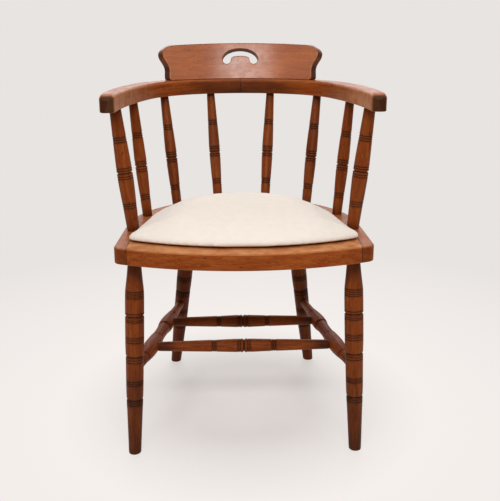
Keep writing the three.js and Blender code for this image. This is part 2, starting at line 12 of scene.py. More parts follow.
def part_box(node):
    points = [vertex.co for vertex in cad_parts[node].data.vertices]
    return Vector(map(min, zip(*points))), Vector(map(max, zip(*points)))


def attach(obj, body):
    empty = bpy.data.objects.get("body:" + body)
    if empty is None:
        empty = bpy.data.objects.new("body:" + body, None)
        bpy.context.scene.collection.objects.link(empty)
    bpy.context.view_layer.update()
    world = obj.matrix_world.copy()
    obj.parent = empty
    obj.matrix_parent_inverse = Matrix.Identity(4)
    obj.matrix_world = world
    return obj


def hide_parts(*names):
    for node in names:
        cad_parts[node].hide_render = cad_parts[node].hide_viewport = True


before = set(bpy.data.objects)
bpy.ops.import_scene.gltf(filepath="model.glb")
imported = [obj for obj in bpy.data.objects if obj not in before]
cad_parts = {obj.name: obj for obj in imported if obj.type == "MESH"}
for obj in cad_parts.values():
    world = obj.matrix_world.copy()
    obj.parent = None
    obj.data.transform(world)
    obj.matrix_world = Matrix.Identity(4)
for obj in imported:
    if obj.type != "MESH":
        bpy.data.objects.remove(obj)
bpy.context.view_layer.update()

bl_info = {
    "name": "Captains chair",
    "version": (1, 0, 0),
    "blender": (4, 5, 0),
    "location": "3D View > Sidebar > Chair",
    "description": "Builds a captains chair round its packed frame",
    "category": "Object",
}

MM = 0.001

# Gaps and cuts
GAP = 0.3 * MM
OVERRUN = 8 * MM
END_SLICE = 0.6 * MM
MERGE = 0.002 * MM
LEVEL_SLACK = 0.01 * MM

# Edges that bend more are shaded sharp, and on the crest rail bevelled
SMOOTH_ANGLE = math.radians(32)
SHARP_ANGLE = math.radians(50)
# How much large faces prevail over small ones where flats are kept flat, at most 100
FLATS_PREVAIL = 100

# Left is the side of -X, as someone sees it who looks at the chair's front
SIDES = {"left": -1, "right": 1}
SPINDLE_KINDS = ("arm_post", "spindle_side", "spindle_corner", "spindle_back")

# What the frame says, and how corners are read and moved


def points_of(mesh):
    places = np.empty(len(mesh.vertices) * 3)
    mesh.vertices.foreach_get("co", places)
    return places.reshape(-1, 3)


def move_points(obj, places):
    obj.data.vertices.foreach_set("co", places.astype(np.float32).ravel())
    obj.data.update()


def node_points(name):
    return np.unique(np.round(points_of(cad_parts[name].data), 6), axis=0)


def middle_of(points):
    return Vector((points.min(0) + points.max(0)) / 2)


def axis_of(name):
    """The middles of a turned node's two end faces, the lower or the foremost one first."""
    points = node_points(name)
    direction = np.linalg.svd(points - points.mean(0), full_matrices=False)[2][0]
    along = points @ direction
    first = middle_of(points[along < along.min() + END_SLICE])
    last = middle_of(points[along > along.max() - END_SLICE])
    return sorted([first, last], key=lambda end: (round(end.z, 3), end.y, end.x))


def leg_axis(name):
    """A leg's foot is cut level at the floor, so its middle is taken there."""
    points = node_points(name)
    return middle_of(points[points[:, 2] < END_SLICE]), axis_of(name)[1]


# The frame has its origin under the middle of the chair. The Y sizes below are measured from
# the line of the front feet, as a chair maker would, and FEET_Y is where that line lies.
FEET_Y = leg_axis("leg_front_left")[0].y
SEAT_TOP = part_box("seat_front_rail")[1].z
SEAT_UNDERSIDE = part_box("seat_front_rail")[0].z
ARM_UNDERSIDE, ARM_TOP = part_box("arm_right")[0].z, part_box("arm_right")[1].z
CREST_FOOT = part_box("crest_rail")[0].z
SEAT_FRONT_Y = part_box("seat_front_rail")[0].y


# Plain tools


def only(obj):
    """Leaves one object selected and active."""
    bpy.ops.object.select_all(action="DESELECT")
    obj.select_set(True)
    bpy.context.view_layer.objects.active = obj


def editing(obj):
    only(obj)
    bpy.ops.object.mode_set(mode="EDIT")


def finished_editing():
    bpy.ops.object.mode_set(mode="OBJECT")


def named(name):
    obj = bpy.context.active_object
    obj.name = obj.data.name = name
    return obj


def pick(obj, kind, test):
    """Selects the corners, edges or faces of a piece in edit mode that pass a test."""
    bpy.ops.mesh.select_mode(type=kind)
    bpy.ops.mesh.select_all(action="DESELECT")
    shape = bmesh.from_edit_mesh(obj.data)
    parts = {"VERT": shape.verts, "EDGE": shape.edges, "FACE": shape.faces}[kind]
    for part in parts:
        if test(part):
            part.select_set(True)
    shape.select_flush_mode()
    bmesh.update_edit_mesh(obj.data)


def drawn(name, points):
    """A line of edges, drawn by extruding one corner from point to point. Stays in edit mode."""
    bpy.ops.object.select_all(action="DESELECT")
    bpy.ops.mesh.primitive_plane_add(size=1)
    obj = named(name)
    bpy.ops.object.mode_set(mode="EDIT")
    bpy.ops.mesh.select_mode(type="VERT")
    bpy.ops.mesh.select_all(action="SELECT")
    bpy.ops.mesh.merge(type="CENTER")
    bpy.ops.transform.translate(value=points[0])
    for here, there in zip(points, points[1:]):
        step = Vector(there) - Vector(here)
        bpy.ops.mesh.extrude_region_move(TRANSFORM_OT_translate={"value": step})
    return obj


def flat_face(name, outline, height):
    """A closed outline in X and Y, filled at one height. Stays in edit mode, with its face selected."""
    obj = drawn(name, [(x, y, height) for x, y in outline])
    pick(obj, "VERT", lambda corner: len(corner.link_edges) == 1)
    bpy.ops.mesh.edge_face_add()
    bpy.ops.mesh.select_all(action="SELECT")
    bpy.ops.mesh.edge_face_add()
    return obj


def slab(name, outline, low, high):
    """A closed outline in X and Y, raised to a solid between two heights."""
    obj = flat_face(name, outline, low)
    bpy.ops.mesh.extrude_region_move(TRANSFORM_OT_translate={"value": (0, 0, high - low)})
    face_outwards()
    finished_editing()
    return obj


def face_outwards():
    """In edit mode, merges double corners and turns all faces outwards."""
    bpy.ops.mesh.select_all(action="SELECT")
    bpy.ops.mesh.remove_doubles(threshold=MERGE)
    bpy.ops.mesh.normals_make_consistent(inside=False)


def split_across(obj, places):
    """Splits a piece where it crosses planes of equal X."""
    editing(obj)
    for x in places:
        bpy.ops.mesh.select_all(action="SELECT")
        bpy.ops.mesh.bisect(plane_co=(x, 0, 0), plane_no=(1, 0, 0))
    finished_editing()


def rounded(obj, test, radius, segments):
    """Bevels the edges that pass a test."""
    editing(obj)
    pick(obj, "EDGE", test)
    bpy.ops.mesh.bevel(offset=radius, segments=segments, affect="EDGES", clamp_overlap=False)
    finished_editing()


def at_height(height):
    """A test for edges that lie at one height."""
    return lambda edge: all(abs(corner.co.z - height) < LEVEL_SLACK for corner in edge.verts)


def modify(obj, kind, **settings):
    """Adds a modifier, sets it and applies it."""
    modifier = obj.modifiers.new(kind.title(), kind)
    for name, value in settings.items():
        setattr(modifier, name, value)
    only(obj)
    bpy.ops.object.modifier_apply(modifier=modifier.name)


def cut(obj, cutter, operation="DIFFERENCE"):
    """Cuts one solid by another, which may be several that overlap, and removes the cutter."""
    modify(obj, "BOOLEAN", operation=operation, solver="EXACT", use_self=True, object=cutter)
    bpy.data.objects.remove(cutter)


def copied(obj, name):
    only(obj)
    bpy.ops.object.duplicate()
    return named(name)


def joined(objects):
    bpy.ops.object.select_all(action="DESELECT")
    for obj in objects:
        obj.select_set(True)
    bpy.context.view_layer.objects.active = objects[0]
    bpy.ops.object.join()
    return objects[0]


PEG_SIDES = 32


def peg(start, end, radius, end_radius=None):
    """A round cutter on the line between two points."""
    start, end = Vector(start), Vector(end)
    way = end - start
    bpy.ops.object.select_all(action="DESELECT")
    bpy.ops.mesh.primitive_cone_add(
        vertices=PEG_SIDES,
        radius1=radius,
        radius2=radius if end_radius is None else end_radius,
        depth=way.length,
        location=(start + end) / 2,
        rotation=way.to_track_quat("Z", "Y").to_euler(),
    )
    bpy.ops.object.transform_apply(location=True, rotation=True, scale=True)
    return bpy.context.active_object


def box_between(low, high):
    """A box cutter between two corners."""
    low, high = Vector(low), Vector(high)
    bpy.ops.object.select_all(action="DESELECT")
    bpy.ops.mesh.primitive_cube_add(size=1, location=(low + high) / 2, scale=high - low)
    bpy.ops.object.transform_apply(location=True, rotation=True, scale=True)
    return bpy.context.active_object


def smooth(obj):
    only(obj)
    bpy.ops.object.shade_smooth_by_angle(angle=SMOOTH_ANGLE)


def smooth_flats(obj):
    """Smooth round edges that leave the large faces flat."""
    smooth(obj)
    modify(obj, "WEIGHTED_NORMAL", mode="FACE_AREA", weight=FLATS_PREVAIL, keep_sharp=True)


# How far apart in the grain two pieces were cut, in metres
BOARD_STEP = np.array([0.31, 0.17, 1.9])


def board(seed):
    """Where in the grain a piece was cut, so that no two pieces look alike."""
    return BOARD_STEP * (seed + 1)


def store(obj, name, values, domain="POINT"):
    """Keeps a number or a vector for each corner or face, for the materials to read."""
    kind, key = ("FLOAT_VECTOR", "vector") if values.ndim == 2 else ("FLOAT", "value")
    layer = obj.data.attributes.new(name, kind, domain)
    layer.data.foreach_set(key, values.astype(np.float32).ravel())


def end_grain(obj, direction_at):
    """How squarely each face looks along the grain there, from 0 to 1."""
    return np.array([abs(face.normal.dot(direction_at(face.center))) for face in obj.data.polygons])


# Below 1, the paleness of a rounded edge, partly worn and partly painted highlight, reaches
# further onto its sides
WEAR_AND_HIGHLIGHT_SPREAD = 0.7


def worn_and_lit_edges(obj, flat_at=lambda place: Vector((0, 0, 1)), rubbed=lambda face: 0, kept=lambda face: 1):
    """Stores where edges are pale, partly worn by hands and clothes and partly painted highlight: on
    rounded edges, found by how they lean from the flat face, whose direction flat_at gives. The
    argument after flat_at gives a face's paleness besides its lean, partly painted sheen, and kept
    is the share of an edge's paleness that shows."""
    faces = obj.data.polygons
    lean = np.array([face.normal.dot(flat_at(face.center)) for face in faces])
    edges = np.clip(1 - np.abs(2 * lean**2 - 1), 0, 1) ** WEAR_AND_HIGHLIGHT_SPREAD
    edges *= np.array([kept(face) for face in faces])
    store(obj, "wear", np.maximum(edges, [rubbed(face) for face in faces]), "FACE")


def fitted(obj, nodes, material, body="root"):
    """Gives a finished piece its material and its body, and hides the nodes that it stands for."""
    obj.data.materials.clear()
    obj.data.materials.append(material)
    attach(obj, body)
    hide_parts(*nodes)


def spline(points, steps):
    """A smooth line through the points, with so many steps between each two."""
    points = [np.array(point, float) for point in points]
    ends = [2 * points[0] - points[1], *points, 2 * points[-1] - points[-2]]
    line = []
    for before, here, there, after in zip(ends, ends[1:], ends[2:], ends[3:]):
        for share in np.arange(steps) / steps:
            pull = (there - before) / 2, (after - here) / 2
            line.append(
                here
                + share * pull[0]
                + share**2 * (3 * (there - here) - 2 * pull[0] - pull[1])
                + share**3 * (2 * (here - there) + pull[0] + pull[1])
            )
    return [*line, points[-1]]


# Turned pieces

# Across a V cut, from lip to lip: shares of its half width and of its depth
V_CUT_SHARES = [(-1, 0), (-0.3, 0.85), (0, 1), (0.3, 0.85), (1, 0)]
# No other point of a profile lies nearer to a cut than this many of its half widths
V_CLEARANCE = 1.25


def turned_line(outline, grooves, step):
    """A turner's profile as (out, along): a smoothed outline with a V cut in at each groove.
    outline is a list of (along, out), and grooves of (along, depth, half width)."""
    known = np.array(outline)
    count = int((known[-1, 0] - known[0, 0]) / step)
    along = np.linspace(known[0, 0], known[-1, 0], count)
    out = np.interp(along, known[:, 0], known[:, 1])
    out[1:-1] = (out[:-2] + out[1:-1] + out[2:]) / 3
    line = []
    for place, radius in zip(along, out):
        if all(abs(place - middle) > half * V_CLEARANCE for middle, _, half in grooves):
            line.append((place, radius))
    for middle, depth, half in grooves:
        lip = np.interp(middle, along, out)
        line += [(middle + across * half, lip - down * depth) for across, down in V_CUT_SHARES]
    return [(radius, place) for place, radius in sorted(line)]


def spun(name, profile, sides):
    """Turns a profile of (out, along) round the Z axis to a closed solid."""
    first, last = profile[0][1], profile[-1][1]
    line = [(0, 0, first), *[(out, 0, along) for out, along in profile], (0, 0, last)]
    obj = drawn(name, line)
    bpy.ops.mesh.select_all(action="SELECT")
    bpy.ops.mesh.spin(steps=sides, angle=2 * math.pi, center=(0, 0, 0), axis=(0, 0, 1))
    face_outwards()
    finished_editing()
    return obj


# A cut so many times as deep as the finest is a V cut, at the bottom of which the stain lies. It
# fills the others, the rings, and fades less steeply up their walls.
V_CUT_DEEPER = 1.2
V_STAIN_FADE = 3.0
RING_STAIN_FADE = 0.6
CUT_SLACK = 1.01
# How much darker the wood beside a cut is: in full up to half of this reach, and not at all past
# one and a half times as far
BESIDE_CUT_SHADE = 0.2
BESIDE_CUT_REACH = 3 * MM
MOST_SHADE = 0.9
# Corners nearer to the axis belong to an end face
END_FACE_RADIUS = 2 * MM


def mark_turning(obj, outline, grooves, shades, seed):
    """Stores the grain, which runs along the piece, how dark the stain has pooled in each cut,
    and how dark the piece is: painted shade from one end to the other, and darker wood beside its cuts."""
    points = points_of(obj.data)
    known, cuts = np.array(outline), np.array(grooves)
    out, up = np.hypot(points[:, 0], points[:, 1]), points[:, 2]
    away = np.abs(up[:, None] - cuts[:, 0])
    nearest = away.argmin(1)
    depth = (np.interp(up, known[:, 0], known[:, 1]) - out) / cuts[nearest, 1]
    deep = cuts[nearest, 1] > cuts[:, 1].min() * V_CUT_DEEPER
    inside = (away.min(1) < cuts[nearest, 2] * CUT_SLACK) & (out > END_FACE_RADIUS)
    fade = np.where(deep, V_STAIN_FADE, RING_STAIN_FADE)
    store(obj, "grain", points + board(seed))
    store(obj, "stain", inside * np.clip(depth, 0, 1) ** fade)
    share = (up - known[0, 0]) / (known[-1, 0] - known[0, 0])
    beside = BESIDE_CUT_SHADE * np.clip(1.5 - away.min(1) / BESIDE_CUT_REACH, 0, 1)
    store(obj, "shade", np.clip(np.interp(share, *np.array(shades).T) + beside, 0, MOST_SHADE))


def stood(obj, start, end):
    """Puts a piece turned on the Z axis onto the line between two points."""
    obj.rotation_euler = (end - start).to_track_quat("Z", "Y").to_euler()
    obj.location = start
    only(obj)
    bpy.ops.object.transform_apply(location=True, rotation=True, scale=True)
    return obj


# How dark a turned piece is, from one end to the other: shares of its length and of full dark.
# The dark ends are painted shadow where the piece meets what holds it, partly stain pooled there
TURNED_SHADE_SHARES = [
    (0, 0.85), (0.07, 0.75), (0.13, 0.3), (0.17, 0.2), (0.83, 0.2), (0.88, 0.4), (0.93, 0.8), (1, 0.85),
]

# The same for the pieces at the back, which are darker between their ends: painted shade, as
# the chair keeps the light from them
BACK_SHADE_SHARES = [
    (0, 0.85), (0.07, 0.75), (0.14, 0.4), (0.83, 0.4), (0.88, 0.5), (0.93, 0.8), (1, 0.85),
]


def turned(node, outline, grooves, ends, sides, seed, shades=TURNED_SHADE_SHARES):
    """Turns and marks a piece, and puts it on the line between its two ends."""
    line = turned_line(outline, grooves, bpy.context.scene.chair_turning.step)
    obj = spun(f"turned_{node}", line, sides)
    mark_turning(obj, outline, grooves, shades, seed)
    return stood(obj, *ends)


def finish_turning(obj, node):
    smooth(obj)
    fitted(obj, [node], wood())


# Shares of a leg's height up to the seat and of its largest radius
LEG_OUTLINE_SHARES = [
    (0.0, 0.645), (0.01, 0.68), (0.225, 0.835), (0.26, 0.875), (0.29, 0.885), (0.334, 0.92),
    (0.363, 0.925), (0.455, 0.945), (0.5, 0.95), (0.53, 0.96), (0.565, 0.99), (0.61, 1.0), (0.673, 1.0),
    (0.74, 1.0), (0.797, 1.0), (0.842, 0.985), (0.862, 0.94), (0.885, 0.88), (0.91, 0.82), (0.94, 0.76),
    (0.97, 0.71), (1.0, 0.675),
]
# The places of the cuts in a leg, as shares of the same height, from the floor up
LEG_V_SHARES = [0.289, 0.5155, 0.7202]
LEG_RING_SHARES = [
    *(0.2653, 0.2785),
    *(0.3705, 0.38, 0.3907),
    *(0.4888, 0.5031),
    *(0.5925, 0.6057, 0.6168),
    *(0.6963, 0.7059, 0.7373),
    *(0.8156, 0.8254, 0.8353, 0.847),
]

# Shares of a spindle's length between the seat and the bow, and of its largest radius
SPINDLE_OUTLINE_SHARES = [
    (0.0, 0.79), (0.1, 0.83), (0.2, 0.87), (0.3, 0.94), (0.42, 1.0), (0.5, 1.0), (0.6, 0.95),
    (0.73, 0.87), (0.86, 0.79), (1.0, 0.71),
]
SPINDLE_V_SHARES = [0.46]
SPINDLE_RING_SHARES = [
    *(0.17, 0.1885, 0.207),
    *(0.417, 0.436, 0.484, 0.503),
    *(0.712, 0.7305, 0.749),
]
# How much further up the cuts of each kind lie
SPINDLE_SHIFT_SHARES = dict(zip(SPINDLE_KINDS, (0.03, -0.014, -0.024, -0.016)))

# Shares of a side stretcher's length, from front to rear, and of its bulb's radius
SIDE_STRETCHER_OUTLINE_SHARES = [
    (0.0, 0.42), (0.04, 0.57), (0.1, 0.585), (0.15, 0.67), (0.2, 0.84), (0.25, 0.965), (0.3, 1.0),
    (0.35, 0.96), (0.41, 0.87), (0.42, 0.79), (0.47, 0.76), (0.52, 0.78), (0.56, 0.82), (0.57, 0.92),
    (0.61, 0.98), (0.65, 0.97), (0.7, 0.89), (0.75, 0.76), (0.8, 0.63), (0.86, 0.575), (0.96, 0.56),
    (1.0, 0.42),
]
SIDE_STRETCHER_RING_SHARES = [0.165, 0.413, 0.567, 0.735]

# The same for half a cross stretcher, from its end to its middle
CROSS_STRETCHER_OUTLINE_SHARES = [
    (0.0, 0.48), (0.03, 0.68), (0.15, 0.76), (0.3, 0.86), (0.36, 0.89), (0.47, 0.99), (0.5, 1.0),
]
CROSS_STRETCHER_RING_SHARES = [0.325, 0.335, 0.345, 0.467, 0.479]


def both_halves(shares):
    other = [(1 - along, out) for along, out in shares[-2::-1]]
    return [*shares, *other]


def scaled(shares, length, radius, start=0.0):
    return [(start + along * length, out * radius) for along, out in shares]


def cuts_at(shares, length, depth, start=0.0):
    """Cuts whose half width equals their depth."""
    return [(start + share * length, depth, depth) for share in shares]


# How dark a leg is, from the floor up: shares of its length and of full dark. It is painted
# shade on the rear legs, under the seat and down to the foot, whose dark is partly stain too
LEG_SHADE_SHARES = {
    "front": [(0, 0.84), (0.25, 0.62), (0.5, 0.3), (0.8, 0.2), (0.86, 0.46), (0.93, 0.72), (1, 0.84)],
    "rear": [(0, 0.72), (0.5, 0.6), (0.9, 0.45), (1, 0.6)],
}

# How far the edge of a foot is rounded
FOOT_ROUND = 0.8 * MM


def make_leg(end, side, seed):
    """Turns a leg past the floor and trims its foot level."""
    sizes = bpy.context.scene.chair_turning
    node = f"leg_{end}_{side}"
    foot, head = leg_axis(node)
    length = (head - foot).length - sizes.leg_tenon
    outline = [
        (-OVERRUN, LEG_OUTLINE_SHARES[0][1] * sizes.leg_radius),
        *scaled(LEG_OUTLINE_SHARES, length, sizes.leg_radius)[1:],
        (length + sizes.leg_tenon, sizes.leg_tenon_radius),
    ]
    grooves = [
        *cuts_at(LEG_V_SHARES, length, sizes.v_depth),
        *cuts_at(LEG_RING_SHARES, length, sizes.ring_depth),
    ]
    obj = turned(node, outline, grooves, (foot, head), sizes.leg_sides, seed, LEG_SHADE_SHARES[end])
    editing(obj)
    bpy.ops.mesh.select_all(action="SELECT")
    bpy.ops.mesh.bisect(plane_co=(0, 0, 0), plane_no=(0, 0, 1), use_fill=True, clear_inner=True)
    finished_editing()
    rounded(obj, at_height(0), FOOT_ROUND, segments=2)
    finish_turning(obj, node)


def make_spindle(kind, side, seed):
    """Turns an arm post or a spindle, which differ in thickness and in how high their cuts lie."""
    sizes = bpy.context.scene.chair_turning
    node = f"{kind}_{side}"
    ends = axis_of(node)
    radius = sizes.post_radius if kind == "arm_post" else sizes.spindle_radius
    tenon = sizes.spindle_tenon
    length = (ends[1] - ends[0]).length - 2 * tenon
    outline = [
        (0, sizes.spindle_tenon_radius),
        *scaled(SPINDLE_OUTLINE_SHARES, length, radius, tenon),
        (length + 2 * tenon, sizes.spindle_tenon_radius),
    ]
    start = tenon + SPINDLE_SHIFT_SHARES[kind] * length
    grooves = [
        *cuts_at(SPINDLE_V_SHARES, length, sizes.v_depth * radius / sizes.leg_radius, start),
        *cuts_at(SPINDLE_RING_SHARES, length, sizes.ring_depth, start),
    ]
    shades = BACK_SHADE_SHARES if kind in ("spindle_corner", "spindle_back") else TURNED_SHADE_SHARES
    finish_turning(turned(node, outline, grooves, ends, sizes.spindle_sides, seed, shades), node)


def make_side_stretcher(side, seed):
    sizes = bpy.context.scene.chair_turning
    node = f"side_stretcher_{side}"
    ends = sorted(axis_of(node), key=lambda end: end.y)
    length = (ends[1] - ends[0]).length
    outline = scaled(SIDE_STRETCHER_OUTLINE_SHARES, length, sizes.side_stretcher_radius)
    grooves = cuts_at(SIDE_STRETCHER_RING_SHARES, length, sizes.ring_depth)
    finish_turning(turned(node, outline, grooves, ends, sizes.leg_sides, seed), node)


def make_cross_stretcher(end, seed):
    sizes = bpy.context.scene.chair_turning
    node = f"cross_stretcher_{end}"
    ends = sorted(axis_of(node), key=lambda end: end.x)
    length = (ends[1] - ends[0]).length
    radius = sizes.cross_stretcher_radius
    outline = scaled(both_halves(CROSS_STRETCHER_OUTLINE_SHARES), length, radius)
    rings = [*CROSS_STRETCHER_RING_SHARES, *[1 - share for share in CROSS_STRETCHER_RING_SHARES]]
    grooves = [
        *cuts_at([0.5], length, sizes.v_depth * radius / sizes.leg_radius),
        *cuts_at(rings, length, sizes.ring_depth),
    ]
    shades = BACK_SHADE_SHARES if end == "rear" else TURNED_SHADE_SHARES
    finish_turning(turned(node, outline, grooves, ends, sizes.spindle_sides, seed, shades), node)


# Arm bow


def bow_point(along, offset=0.0):
    """A point on the right half of the bow's line, or so far outside it, from the back joint on."""
    bow = bpy.context.scene.chair_bow
    back_length = bow.back_radius * bow.back_sweep
    centre = Vector((0, FEET_Y + bow.arc_y))
    join = Vector((math.sin(bow.back_sweep), math.cos(bow.back_sweep)))
    if along <= back_length:
        angle = along / bow.back_radius
        radius = bow.back_radius
    else:
        angle = bow.back_sweep + (along - back_length) / bow.side_radius
        radius = bow.side_radius
        centre += join * (bow.back_radius - bow.side_radius)
    return centre + Vector((math.sin(angle), math.cos(angle))) * (radius + offset)


def bow_length():
    bow = bpy.context.scene.chair_bow
    return bow.back_radius * bow.back_sweep + bow.side_radius * bow.side_sweep


def bow_half_width(along):
    bow = bpy.context.scene.chair_bow
    share = (along / bow_length()) ** 2
    return (bow.back_width + (bow.tip_width - bow.back_width) * share) / 2


def bow_place(x, y):
    """How far along the bow a point lies, and how far outside its line."""
    bow = bpy.context.scene.chair_bow
    centre = Vector((0, FEET_Y + bow.arc_y))
    out = Vector((x, y)) - centre
    angle = math.atan2(out.x, out.y)
    if angle <= bow.back_sweep:
        return angle * bow.back_radius, out.length - bow.back_radius
    join = Vector((math.sin(bow.back_sweep), math.cos(bow.back_sweep)))
    out -= join * (bow.back_radius - bow.side_radius)
    past = math.atan2(out.x, out.y) - bow.back_sweep
    return bow.back_radius * bow.back_sweep + past * bow.side_radius, out.length - bow.side_radius


# The two corners of the hand end, inside and outside: where along the tip each starts to turn,
# and where across the end it is done
TIP_CORNER_SHARES = {-1: (0.4, 0.2), 1: (0.45, 0.3)}
TIP_POINTS = 9


def bow_outline():
    bow = bpy.context.scene.chair_bow
    tip_start = bow_length() - bow.tip_length
    places = np.linspace(0, tip_start, bow.steps)
    inner = [bow_point(along, -bow_half_width(along)) for along in places]
    outer = [bow_point(along, bow_half_width(along)) for along in places]
    tip = []
    for side, (start, end) in TIP_CORNER_SHARES.items():
        for angle in np.linspace(0, math.pi / 2, TIP_POINTS)[::-side]:
            along = tip_start + (start + (1 - start) * math.sin(angle)) * bow.tip_length
            across = side * (end + (1 - end) * math.cos(angle))
            tip.append(bow_point(along, across * bow_half_width(along)))
    inner[0].x = outer[0].x = GAP / 2
    return [*inner, *tip, *outer[::-1]]


def make_arm(side, seed):
    """Shapes and bores a right-hand half of the bow, and mirrors it for the left."""
    bow = bpy.context.scene.chair_bow
    turning = bpy.context.scene.chair_turning
    obj = slab(f"bow_{side}", bow_outline(), ARM_UNDERSIDE, ARM_TOP)
    # Edges nearer to the back joint than this stay sharp
    joint = 0.5 * MM

    def around(height):
        level = at_height(height)
        return lambda edge: level(edge) and max(corner.co.x for corner in edge.verts) > joint

    rounded(obj, around(ARM_TOP), bow.edge_round, segments=6)
    rounded(obj, around(ARM_UNDERSIDE), bow.under_round, segments=3)
    holes = []
    for kind in SPINDLE_KINDS:
        foot, head = axis_of(f"{kind}_right")
        holes.append(socket(head, foot, turning.spindle_tenon, turning.spindle_tenon_radius))
    for i in (1, 2):
        holes += screw_holes(f"crest_screw_right_{i}")
    cut(obj, joined(holes))
    split_evenly(obj)
    slope_tip(obj)
    if side == "left":
        mirror(obj)
    mark_arm(obj, SIDES[side], seed)
    smooth_flats(obj)
    fitted(obj, [f"arm_{side}"], wood())


# How dark the bow is all over, how much darker on the inner side at the back, what is added to
# that from the top down to the underside, how wide the dark band is on the top, and how the dark
# fades along the bow: below 1, it holds on for longer
BOW_SHADE = 0.06
INNER_SHADE = 0.62
LOWER_SHADE = 0.3
INNER_BAND = 6 * MM
BOW_DARK_FADE = 0.7
# Pale edges and inner side, partly worn and partly painted highlight and sheen, grow over this
# share of the bow's length, from so far along it, and so much is there before
WEAR_AND_HIGHLIGHT_START = 0.45
WEAR_AND_HIGHLIGHT_RISE = 0.4
LEAST_WEAR_AND_HIGHLIGHT = 0.35
# How squarely a face has to look along the grain to take stain, and how much more to take it all
STAIN_START = 0.3
STAIN_RISE = 0.4


def mark_arm(obj, sign, seed):
    """Stores the grain, which runs along the bow, its dark inner back, the line of the back joint,
    the pale edges and inner side towards the hand end, partly worn and partly painted highlight and
    sheen, and the stain in the end grain."""
    bow = bpy.context.scene.chair_bow

    def tangent(place):
        along, _ = bow_place(abs(place.x), place.y)
        ahead = bow_point(along + 1 * MM) - bow_point(along - 1 * MM)
        return Vector((sign * ahead.x, ahead.y, 0)).normalized()

    def towards_tip(face):
        along, _ = bow_place(abs(face.center.x), face.center.y)
        return min(1, max(0, (along / bow_length() - WEAR_AND_HIGHLIGHT_START) / WEAR_AND_HIGHLIGHT_RISE))

    def inner_side(face):
        _, out = bow_place(abs(face.center.x), face.center.y)
        return towards_tip(face) if out < 0 and abs(face.normal.z) < 0.5 else 0

    points = points_of(obj.data)
    along, out = np.array([bow_place(abs(x), y) for x, y, _ in points]).T
    store(obj, "grain", np.column_stack([out, points[:, 2], sign * along]) + board(seed))
    half_widths = np.array([bow_half_width(place) for place in along])
    inside = np.clip((-out - half_widths + INNER_BAND) / INNER_BAND, 0, 1)
    darker = np.clip(1 - along / bow.dark_length, 0, 1) ** BOW_DARK_FADE
    low = (ARM_TOP - points[:, 2]) / (ARM_TOP - ARM_UNDERSIDE)
    store(obj, "shade", BOW_SHADE + inside * darker * (INNER_SHADE + LOWER_SHADE * low))
    far = np.ones(len(points))
    store(obj, "joints", 1 + np.column_stack([points[:, 0], far, far]))
    worn_and_lit_edges(obj, rubbed=inner_side, kept=lambda face: LEAST_WEAR_AND_HIGHLIGHT + (1 - LEAST_WEAR_AND_HIGHLIGHT) * towards_tip(face))
    store(obj, "stain", np.clip((end_grain(obj, tangent) - STAIN_START) / STAIN_RISE, 0, 1), "FACE")


def slope_tip(obj):
    """Slopes the top of a right-hand arm down over its hand end."""
    bow = bpy.context.scene.chair_bow
    places = points_of(obj.data)
    along = np.array([bow_place(x, y)[0] for x, y, _ in places])
    share = np.clip(1 - (bow_length() - along) / bow.slope_length, 0, 1)
    above = (places[:, 2] - ARM_UNDERSIDE) / (ARM_TOP - ARM_UNDERSIDE)
    places[:, 2] -= bow.slope_drop * share**2 * above
    move_points(obj, places)


def split_evenly(obj):
    """Splits large faces into triangles that follow the grain round a bend."""
    editing(obj)
    bpy.ops.mesh.select_all(action="SELECT")
    bpy.ops.mesh.quads_convert_to_tris(quad_method="BEAUTY", ngon_method="BEAUTY")
    bpy.ops.mesh.beautify_fill()
    finished_editing()


def mirror(obj):
    """Turns a right-hand piece into the left-hand one."""
    obj.scale.x = -1
    only(obj)
    bpy.ops.object.transform_apply(location=True, rotation=True, scale=True)
    editing(obj)
    face_outwards()
    finished_editing()


def socket(end, other_end, tenon, radius):
    """A cutter for the tenon at one end of a turned piece, wider towards its other end."""
    out = (other_end - end).normalized()
    radius += GAP
    mouth = radius + bpy.context.scene.chair_bow.socket_flare
    return peg(end - out * GAP, end + out * (tenon + OVERRUN), radius, mouth)


def screw_holes(node):
    """The bore of a screw that points straight up: wide below for its head, narrow above."""
    low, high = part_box(node)
    middle = (low + high) / 2
    head = (high.x - low.x) / 2 + GAP
    shoulder = low.z + bpy.context.scene.chair_seat.screw_head
    wide = peg((middle.x, middle.y, low.z - 4 * OVERRUN), (middle.x, middle.y, shoulder), head)
    narrow = peg((middle.x, middle.y, low.z), (middle.x, middle.y, high.z + GAP), head / 2 + GAP)
    return [wide, narrow]


# Crest rail

# Outline of its end: shares of the height, and of the way from foot to tip
CREST_END_SHARES = [
    (0.0, -0.3), (0.02, -0.12), (0.06, 0.0), (0.16, 0.02), (0.3, 0.03), (0.41, 0.16), (0.53, 0.44),
    (0.67, 0.82), (0.79, 1.0), (0.88, 0.93), (0.95, 0.52), (0.99, -0.1), (1.0, -0.9),
]
# Points along half the top edge, over the hand hole's arch, round each of its lobes and round its
# tongue, and how full the tongue's corners are: 1 would be an ellipse
TOP_POINTS = 12
ARCH_POINTS = 33
LOBE_POINTS = 13
TONGUE_POINTS = 19
TONGUE_FULLNESS = 0.75


def crest_outline():
    """The flat plank's outline as (along, up), in two mirrored halves that meet at the top."""
    crest = bpy.context.scene.chair_crest
    half = []
    for up, out in spline(CREST_END_SHARES, steps=4):
        along = crest.foot_half + (crest.tip_half - crest.foot_half) * out
        half.append((along, up * (crest.height - crest.end_drop * min(1, along / crest.tip_half) ** 2)))
    last = half[-1][0]
    for share in np.linspace(0, 1, TOP_POINTS)[1:-1]:
        along = last * (1 - share)
        half.append((along, crest.height - crest.end_drop * (along / crest.tip_half) ** 2))
    top = [(0.0, crest.height)]
    left = [(-along, up) for along, up in half[::-1]]
    return [*half, *top, *left]


